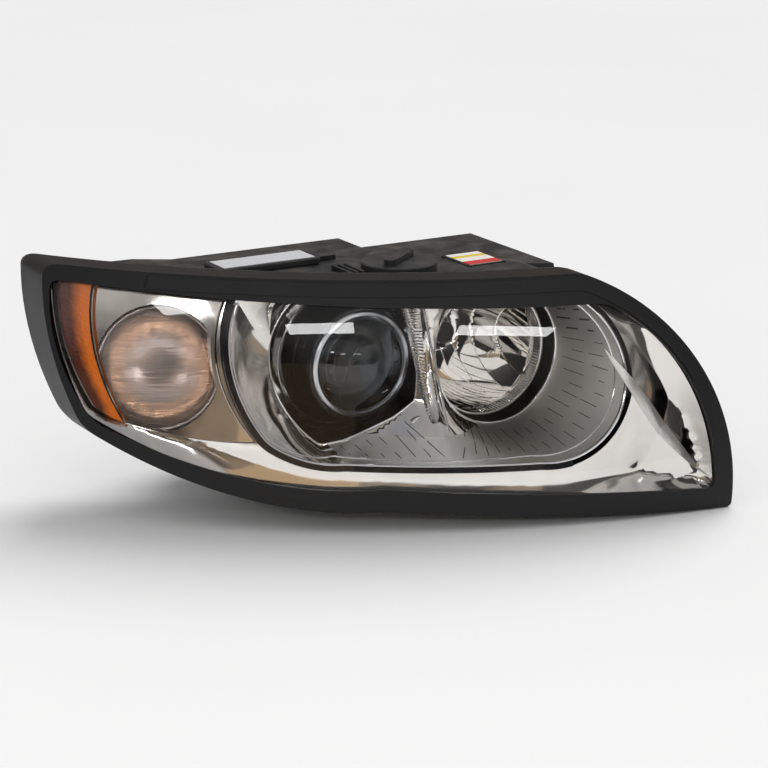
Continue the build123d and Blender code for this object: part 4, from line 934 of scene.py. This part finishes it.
# ------------------------------------------------------------ turn signal and marker
def to_crown(point, direction, depth):
    """Where a line meets the surface this deep under the crown."""
    start = point - CROWN
    along = start.dot(direction)
    return point + direction * (-along + (along**2 - start.length_squared + (FACE_RADIUS - depth) ** 2) ** 0.5)


class HEADLIGHT_OT_turn_signal(bpy.types.Operator):
    """Turn signal behind its frosted lens, and the amber side marker"""

    bl_idname = "headlight.turn_signal"
    bl_label = "Turn signal and marker"

    def execute(self, context):
        mouth_radius = 45.6
        origin, across, up, inward = TURN
        turns = [2 * pi * i / 96 for i in range(96)]
        back = [origin + (across * cos(t) + up * sin(t)) * mouth_radius + inward * 2 for t in turns]
        front = [to_crown(p, OUTWARD, 12) for p in back]
        hole = held_in(np.array([(p.x, p.z) for p in front]), grown(TURN_WINDOW, -2.0))
        hole = respaced(hole, 2.0)
        shape = Shape()
        shape.sheet(TURN_WINDOW, [hole], 12, 3.0)
        shape.wall(TURN_WINDOW, 11, 20)
        rows = [Vector((x, float(crown_y(x, z, 12)), z)) for x, z in hole]
        deep = [p + inward * ((back[0] - p).dot(inward)) for p in rows]
        count = len(rows)
        faces = [(i, (i + 1) % count, count + (i + 1) % count, count + i) for i in range(count)]
        shape.add(rows + deep, faces)
        shape.finish("turn_bezel_chrome", "housing", ["turn_bezel"], "bezel_chrome", ["bezel_chrome"])

        shape = Shape()
        profile = [(r, -9 + 6 * (r / 45.6) ** 2) for r in np.linspace(0, 45.4, 14)]
        profile += [(45.4, 0)] + [(r, -5.5 + 5.5 * (r / 44) ** 2) for r in np.linspace(43, 0, 12)]
        shape.lathe(TURN, profile)
        shape.finish("turn_lens_frosted", "housing", ["turn_inner_lens"], "frosted_lens", ["frosted_lens"])

        shape = Shape()
        shape.lathe(TURN, bowl_profile(44, 0.4, 11, 36), closed=False, wave=turn_facets)
        bowl = shape.finish("turn_bowl", "housing", ["turn_reflector"], "reflector", ["reflector"])
        solid = bowl.modifiers.new("thickness", "SOLIDIFY")
        solid.thickness = 1.4 * MM
        self.marker()
        return {"FINISHED"}

    def marker(self):
        shape = Shape()
        shape.slab(MARKER, [], 6, 9, 2.5)
        piece = shape.finish("marker_amber", "housing", ["amber_reflector"], "amber", ["amber"], 0.5)
        # The share across the marker, 0 at its outer edge and 1 at its inner edge, sets where the amber material's
        # painted shade falls.
        flat = np.array([tuple((v.co - CENTRE) / MM) for v in piece.data.vertices])[:, [0, 2]]
        outer = np.array(arc_points((-164.6, -24.8), (-173.4, 14.6), (-169, 60.4)))
        inner = np.array(arc_points((-153, 59.6), (-160, 12.8), (-150.5, -34)))
        to_outer = np.sqrt(((flat[:, None] - outer[None]) ** 2).sum(2)).min(1)
        to_inner = np.sqrt(((flat[:, None] - inner[None]) ** 2).sum(2)).min(1)
        across = piece.data.attributes.new("across", "FLOAT", "POINT")
        across.data.foreach_set("value", to_outer / np.maximum(to_outer + to_inner, 1e-6))


def bowl_profile(rim, front, neck, apex, count=40):
    """Inside of a reflector bowl, from its rim to its neck."""
    shares = np.linspace(0, 1, count)
    return [(neck + (rim - neck) * (1 - s**2.2) ** 0.62, front + (apex - front) * s) for s in shares]


def turn_facets(radius, depth, turn):
    """Upright strips pressed into the turn signal's bowl."""
    across = radius * cos(turn) / 9.0
    return radius, depth + 1.2 * abs(across % 1.0 - 0.5) * min(1.0, radius / 20.0)


# ------------------------------------------------------------ low beam
def ring_profile(inner, outer, front, back, corner=0.5):
    """Section of a ring with its front corners taken off."""
    return [
        (inner, back), (inner, front + corner), (inner + corner, front),
        (outer - corner, front), (outer, front + corner), (outer, back),
    ]


class HEADLIGHT_OT_low_beam(bpy.types.Operator):
    """Low beam: shroud ring, barrel, clamp ring and glass lens"""

    bl_idname = "headlight.low_beam"
    bl_label = "Low beam"

    def execute(self, context):
        shape = Shape()
        outer_side = [(58.3, 89), (58.3, 87.6), (57.6, 87), (52.4, 87.3), (51.4, 88.2)]
        inner_side = [(48.6, 100.8), (46, 101), (49.8, 89.5), (50.5, 88.6), (51, 90), (54, 91)]
        shape.lathe(LOW, outer_side + inner_side, 160)
        shape.lathe(LOW, ring_profile(49.6, 51.6, 87.2, 89), 160, paint=1)
        shape.finish(
            "low_beam_shroud", "carrier", ["projector_shroud"], "bezel_chrome", ["bezel_chrome", "rim_bright"]
        )
        shape = Shape()
        shape.lathe(
            LOW,
            [
                (34, 62), (41, 61.2), (41.4, 64), (42.6, 80), (43.4, 81),
                (44, 99), (50, 101), (50, 104), (41, 104), (38, 66),
            ],
            160,
            wave=lambda r, d, t: (r + (0.25 * sin(36 * t) if 64 < d < 100 and r > 41 else 0), d),
        )
        shape.finish("lens_barrel_metal", "carrier", ["lens_barrel"], "barrel_grey", ["barrel_grey"])
        self.lens()
        return {"FINISHED"}

    def lens(self):
        rim, seat, height = 35.5, 61.0, 20.0
        bend = (rim**2 + height**2) / (2 * height)
        dome = []
        for share in np.linspace(0, 1, 22):
            radius = rim * share
            dome.append((radius, seat - 3 - height + bend - (bend**2 - radius**2) ** 0.5))
        shape = Shape()
        shape.lathe(LOW, dome + [(rim, seat), (0, seat)], 128, closed=False)
        shape.finish("projector_glass", "carrier", ["projector_lens"], "lens_glass", ["lens_glass"])
        shape = Shape()
        shape.lathe(LOW, ring_profile(35.6, 39.4, 56.6, 61, 0.8), 128, paint=1)
        shape.lathe(LOW, ring_profile(39.5, 42.6, 57.4, 61.2), 128)
        for start in (20, 140, 315):
            claw = [(41, 56.6), (43.6, 57), (44, 71), (42.8, 71), (42.4, 61), (41, 60.8)]
            shape.lathe(LOW, claw, 10, start, 20)
        shape.finish("lens_clamp", "carrier", ["lens_retainer"], "black_trim", ["gloss_black", "lens_ring"])


# ------------------------------------------------------------ high beam
class HEADLIGHT_OT_high_beam(bpy.types.Operator):
    """High beam: faceted bowl with a fluted ring, smooth lip, and the bulb's black cap"""

    bl_idname = "headlight.high_beam"
    bl_label = "High beam"

    def execute(self, context):
        flutes = look().flutes

        def pressed(radius, depth, turn):
            if radius > 47.2:
                return radius, depth
            if depth < 37:
                return radius - 0.35 * abs(sin(flutes * turn / 2)), depth
            across = (radius * cos(turn) + 6) / 11.0
            step = 1.6 * (across % 1.0) * min(1.0, (depth - 37) / 3)
            return radius - step * 0.6, depth - step

        lip = [(48.0, 30), (48.0, 27.1), (47.7, 26.4), (47.3, 26.3), (46.9, 26.6)]
        profile = lip + bowl_profile(47, 26.7, 12, 102, 56)
        shape = Shape()
        shape.lathe(HIGH, profile, 528, closed=False, wave=pressed)
        bowl = shape.finish("high_beam_bowl", "carrier", ["high_beam_reflector"], "reflector", ["reflector"], sharp=50)
        solid = bowl.modifiers.new("thickness", "SOLIDIFY")
        solid.thickness = 1.2 * MM
        solid.offset = -1
        shape = Shape()
        cap = [(0, 85), (6.5, 85), (8, 85.6), (8.5, 87), (8.5, 96), (7, 96), (7, 88), (0, 88)]
        shape.lathe(HIGH, cap, 64, closed=False)
        for low, high in (((-1.5, 87, -11.8), (1.5, 104, -10)), ((-1.5, 87, -11.8), (1.5, 91, -8))):
            (x0, y0, z0), (x1, y1, z1) = low, high
            corners = [
                (HIGH_X + x, y, HIGH_Z + z) for y in (y0, y1) for x, z in ((x0, z0), (x1, z0), (x1, z1), (x0, z1))
            ]
            shape.block(corners)
        shape.finish("bulb_cap", "carrier", ["high_bulb_shield"], "shield_black", ["shield_black"], 0.2)
        return {"FINISHED"}


# ------------------------------------------------------------ fin and screws
class HEADLIGHT_OT_small_parts(bpy.types.Operator):
    """Clear fin between the lamps, and the bezels' screws"""

    bl_idname = "headlight.small_parts"
    bl_label = "Fin and screws"

    def execute(self, context):
        teeth, left = 46, []
        for tooth in range(teeth):
            share = tooth / teeth
            x, z = 34.5 + 5 * share, 50 - 96 * share
            left += [(x, z), (x + 0.9, z - 1.0)]
        points = np.array([*left, (39.5, -46), (50.5, -46), (45.5, 50)])
        shape = Shape()
        shape.slab(points[::-1], [], 25.5, 33.8, 3.0)
        shape.slab(np.array([(44.2, 50), (45.4, 50), (50.4, -46), (49.2, -46)]), [], 23.8, 25.6, 3.0, 1)
        foot = np.array([(38.5, -50.5), (51.5, -50.5), (51.5, -45.2), (38.5, -45.2)])
        shape.slab(foot, [], 24, 33.5, 3.0, 2)
        shape.finish(
            "clear_fin", "housing", ["bezel_fin"], "clear_inner", ["clear_inner", "rim_bright", "slot_dark"], 0.25
        )
        shape = Shape()
        for x, z in ((34, -38), (-58, -46), (62, -52), (-42, 47)):
            self.screw(shape, x, z)
        shape.finish("screws_steel", "housing", ["bezel_screws"], "screw_steel", ["steel", "bezel_chrome"], 0.15)
        return {"FINISHED"}

    def screw(self, shape, x, z):
        """A pan-head screw with a star recess, on a round boss."""
        under = float(crown_y(x, z, 34)) - 3.4
        axis = beam(x, z)
        head = [(0, under - 1.2), (1.7, under - 1.3), (2.2, under - 2.3), (3.1, under - 2.1), (3.8, under - 1)]
        shape.lathe(
            axis, head + [(3.8, under), (2, under), (2, under + 6), (0, under + 6)], 48, closed=False,
            wave=lambda r, d, t: (r * (1 - 0.18 * abs(sin(3 * t))) if 1.5 < r < 2.3 and d < under - 1 else r, d),
        )
        shape.lathe(axis, [(5.6, under + 1), (6.1, under - 0.6), (7, under - 0.8), (7.6, under + 0.4), (7.6, under + 3)],
                    64, closed=False, paint=1)


# ------------------------------------------------------------ CAD pieces that keep their shape
NODE_FINISHES = {
    "housing": "housing_black",
    "lens_seal": "rubber",
    "turn_bulb": "amber_glass",
    "turn_socket": "socket_grey",
    "marker_bulb": "amber_glass",
    "marker_socket": "socket_grey",
    "cutoff_shutter": "steel",
    "shutter_frame": "steel",
    "shutter_solenoid": "motor_black",
    # Near-black reflector: painted shade inside the projector.
    "projector_reflector": "reflector_painted_shade",
    "low_beam_bulb": "bulb_glass",
    "bulb_clip": "steel",
    "projector_screws": "steel",
    "high_beam_bulb": "bulb_glass",
    "high_bulb_socket": "socket_grey",
    "carrier_frame": "inner_plastic",
    "aim_ball": "nylon",
    "pivot_pin": "steel",
    "pivot_fork": "steel",
    "rod_sockets": "nylon",
    "level_rod": "nylon",
    "side_rod": "steel",
    "level_motor": "motor_black",
    "side_adjuster": "inner_plastic",
    "side_knob": "nylon",
    "low_beam_cover": "housing_black",
    "low_beam_cover_seal": "rubber",
    "high_beam_cover": "housing_black",
    "high_beam_cover_seal": "rubber",
    "top_cap": "motor_black",
    "top_cap_seal": "rubber",
    "connector_socket": "motor_black",
    "connector_pins": "brass",
    "vent_caps": "rubber",
    "control_unit": "motor_black",
    "unit_label": "label_silver",
    "roof_label": "label_white",
    "fixing_bushes": "steel",
}


class HEADLIGHT_OT_body(bpy.types.Operator):
    """Finishes of the housing, the aiming gear and what is inside"""

    bl_idname = "headlight.body"
    bl_label = "Housing and aiming gear"

    def execute(self, context):
        for node, finish in NODE_FINISHES.items():
            mesh = frame["nodes"][node].data
            mesh.materials.clear()
            mesh.materials.append(finish_of(finish))
        return {"FINISHED"}


# ------------------------------------------------------------ stage
def aimed(thing, target):
    thing.rotation_euler = (target - thing.location).to_track_quat("-Z", "Y").to_euler()


def area_light(name, place, target, size, power, colour=(1, 1, 1)):
    data = bpy.data.lights.new(name, "AREA")
    data.shape = "RECTANGLE"
    data.size, data.size_y = size
    data.energy = power
    data.color = colour
    lamp = bpy.data.objects.new(name, data)
    bpy.context.scene.collection.objects.link(lamp)
    lamp.location = CENTRE + Vector(place)
    aimed(lamp, CENTRE + Vector(target))
    return lamp


def card(name, place, size, colour):
    """A plain card beside the camera for the bright metal to reflect."""
    mesh = bpy.data.meshes.new(name)
    wide, tall = size[0] / 2, size[1] / 2
    mesh.from_pydata([(-wide, -tall, 0), (wide, -tall, 0), (wide, tall, 0), (-wide, tall, 0)], [], [(0, 1, 2, 3)])
    piece = bpy.data.objects.new(name, mesh)
    bpy.context.scene.collection.objects.link(piece)
    piece.location = CENTRE + Vector(place)
    aimed(piece, CENTRE)
    material, _, shader = blank(name)
    shader.inputs["Base Color"].default_value = (*colour, 1)
    shader.inputs["Roughness"].default_value = 0.8
    mesh.materials.append(material)
    piece.visible_camera = False
    piece.visible_shadow = False


TUBE_HEIGHT = 1.2
TUBES = (
    (-2.41, -1.31, (0.42, 0.24), 5.5),
    (-1.72, -2.30, (0.58, 0.24), 8.0),
    (-0.27, -3.14, (0.95, 0.24), 13.0),
)


class HEADLIGHT_OT_stage(bpy.types.Operator):
    """Floor, lights and camera"""

    bl_idname = "headlight.stage"
    bl_label = "Stage"

    def execute(self, context):
        self.floor()
        self.world(context.scene)
        sun = bpy.data.objects.new("sun", bpy.data.lights.new("sun", "SUN"))
        sun.data.energy = 1.9
        sun.data.angle = radians(40)
        sun.visible_glossy = False
        sun.visible_transmission = False
        context.scene.collection.objects.link(sun)
        sun.location = CENTRE + Vector((1.0, 0.7, 1.6))
        aimed(sun, CENTRE)
        for number, (x, y, size, power) in enumerate(TUBES):
            tube = area_light(f"tube_{number}", (x, y, TUBE_HEIGHT), (x, y, 0), size, power)
            tube.rotation_euler = (0, 0, radians(-28))
        card("dark_card", (0.7, -2.4, -0.1), (1.5, 0.9), (0.015, 0.013, 0.012))
        card("warm_card", (-1.3, -1.5, 0.25), (0.7, 0.7), (0.42, 0.3, 0.18))
        self.camera(context.scene)
        return {"FINISHED"}

    def floor(self):
        mesh = bpy.data.meshes.new("floor")
        level = CAD_BOX[0][2] - 0.0005
        reach = 30.0
        corners = [(-reach, -reach), (reach, -reach), (reach, reach), (-reach, reach)]
        mesh.from_pydata([(x, y, level) for x, y in corners], [], [(0, 1, 2, 3)])
        floor = bpy.data.objects.new("floor", mesh)
        bpy.context.scene.collection.objects.link(floor)
        material, tree, shader = blank("floor_white")
        tree.links.new(
            mixed(tree, noise(tree, 2.0), (0.86, 0.86, 0.86), (0.9, 0.9, 0.9)), shader.inputs["Base Color"]
        )
        shader.inputs["Roughness"].default_value = 0.7
        mesh.materials.append(material)

    def world(self, scene):
        """Even white round the object; what the metal mirrors is a little darker low down."""
        world = bpy.data.worlds.new("studio")
        world.use_nodes = True
        scene.world = world
        tree = world.node_tree
        ground = tree.nodes["Background"]
        path = tree.nodes.new("ShaderNodeLightPath")
        apart = tree.nodes.new("ShaderNodeSeparateXYZ")
        place = tree.nodes.new("ShaderNodeTexCoord").outputs["Generated"]
        tree.links.new(place, apart.inputs["Vector"])
        ramp = tree.nodes.new("ShaderNodeValToRGB")
        stops = ((0.0, (0.1, 0.09, 0.08)), (0.45, (0.03, 0.027, 0.025)), (0.53, (0.28, 0.21, 0.15)),
                 (0.6, (0.06, 0.055, 0.05)), (0.72, (0.5, 0.48, 0.46)), (1.0, (0.3, 0.31, 0.34)))
        while len(ramp.color_ramp.elements) < len(stops):
            ramp.color_ramp.elements.new(0.5)
        for element, (at, colour) in zip(ramp.color_ramp.elements, stops):
            element.position = at
            element.color = (*colour, 1)
        height = ranged(tree, apart.outputs["Z"], -1.0, 1.0, 0.0, 1.0)
        patches = ranged(tree, noise(tree, 3.0, 2.0, place), 0.35, 0.65, -0.09, 0.09)
        tree.links.new(math_node(tree, "ADD", height, patches), ramp.inputs["Fac"])
        even = mixed(tree, path.outputs["Is Diffuse Ray"], ramp.outputs["Color"], (0.56, 0.56, 0.56))
        tree.links.new(mixed(tree, path.outputs["Is Camera Ray"], even, (0.97, 0.97, 0.97)), ground.inputs["Color"])

    def camera(self, scene):
        turn, rise, away = radians(-30), radians(16), 1.8
        data = bpy.data.cameras.new("camera")
        data.lens = 120.5
        data.sensor_width = 36.0
        camera = bpy.data.objects.new("camera", data)
        scene.collection.objects.link(camera)
        back = Vector((sin(turn) * cos(rise), -cos(turn) * cos(rise), sin(rise)))
        camera.location = CENTRE + back * away
        aimed(camera, CENTRE)
        scene.camera = camera
        scene.view_settings.view_transform = "Standard"


OPERATORS = (
    HEADLIGHT_OT_frame,
    HEADLIGHT_OT_cover,
    HEADLIGHT_OT_bezels,
    HEADLIGHT_OT_turn_signal,
    HEADLIGHT_OT_low_beam,
    HEADLIGHT_OT_high_beam,
    HEADLIGHT_OT_small_parts,
    HEADLIGHT_OT_body,
    HEADLIGHT_OT_stage,
)


class HEADLIGHT_PT_panel(bpy.types.Panel):
    """Lists the headlight's settings and its builders"""

    bl_label = "Headlight"
    bl_idname = "HEADLIGHT_PT_panel"
    bl_space_type = "VIEW_3D"
    bl_region_type = "UI"
    bl_category = "Headlight"

    def draw(self, context):
        for name in HeadlightLook.__annotations__:
            self.layout.prop(context.scene.headlight_look, name)
        for operator in OPERATORS:
            self.layout.operator(operator.bl_idname)


CLASSES = (HeadlightLook, *OPERATORS, HEADLIGHT_PT_panel)


def register():
    for cls in CLASSES:
        bpy.utils.register_class(cls)
    bpy.types.Scene.headlight_look = bpy.props.PointerProperty(type=HeadlightLook)


def unregister():
    del bpy.types.Scene.headlight_look
    for cls in reversed(CLASSES):
        bpy.utils.unregister_class(cls)


def main():
    register()
    for operator in OPERATORS:
        group, name = operator.bl_idname.split(".")
        getattr(getattr(bpy.ops, group), name)()


if __name__ == "__main__":
    main()
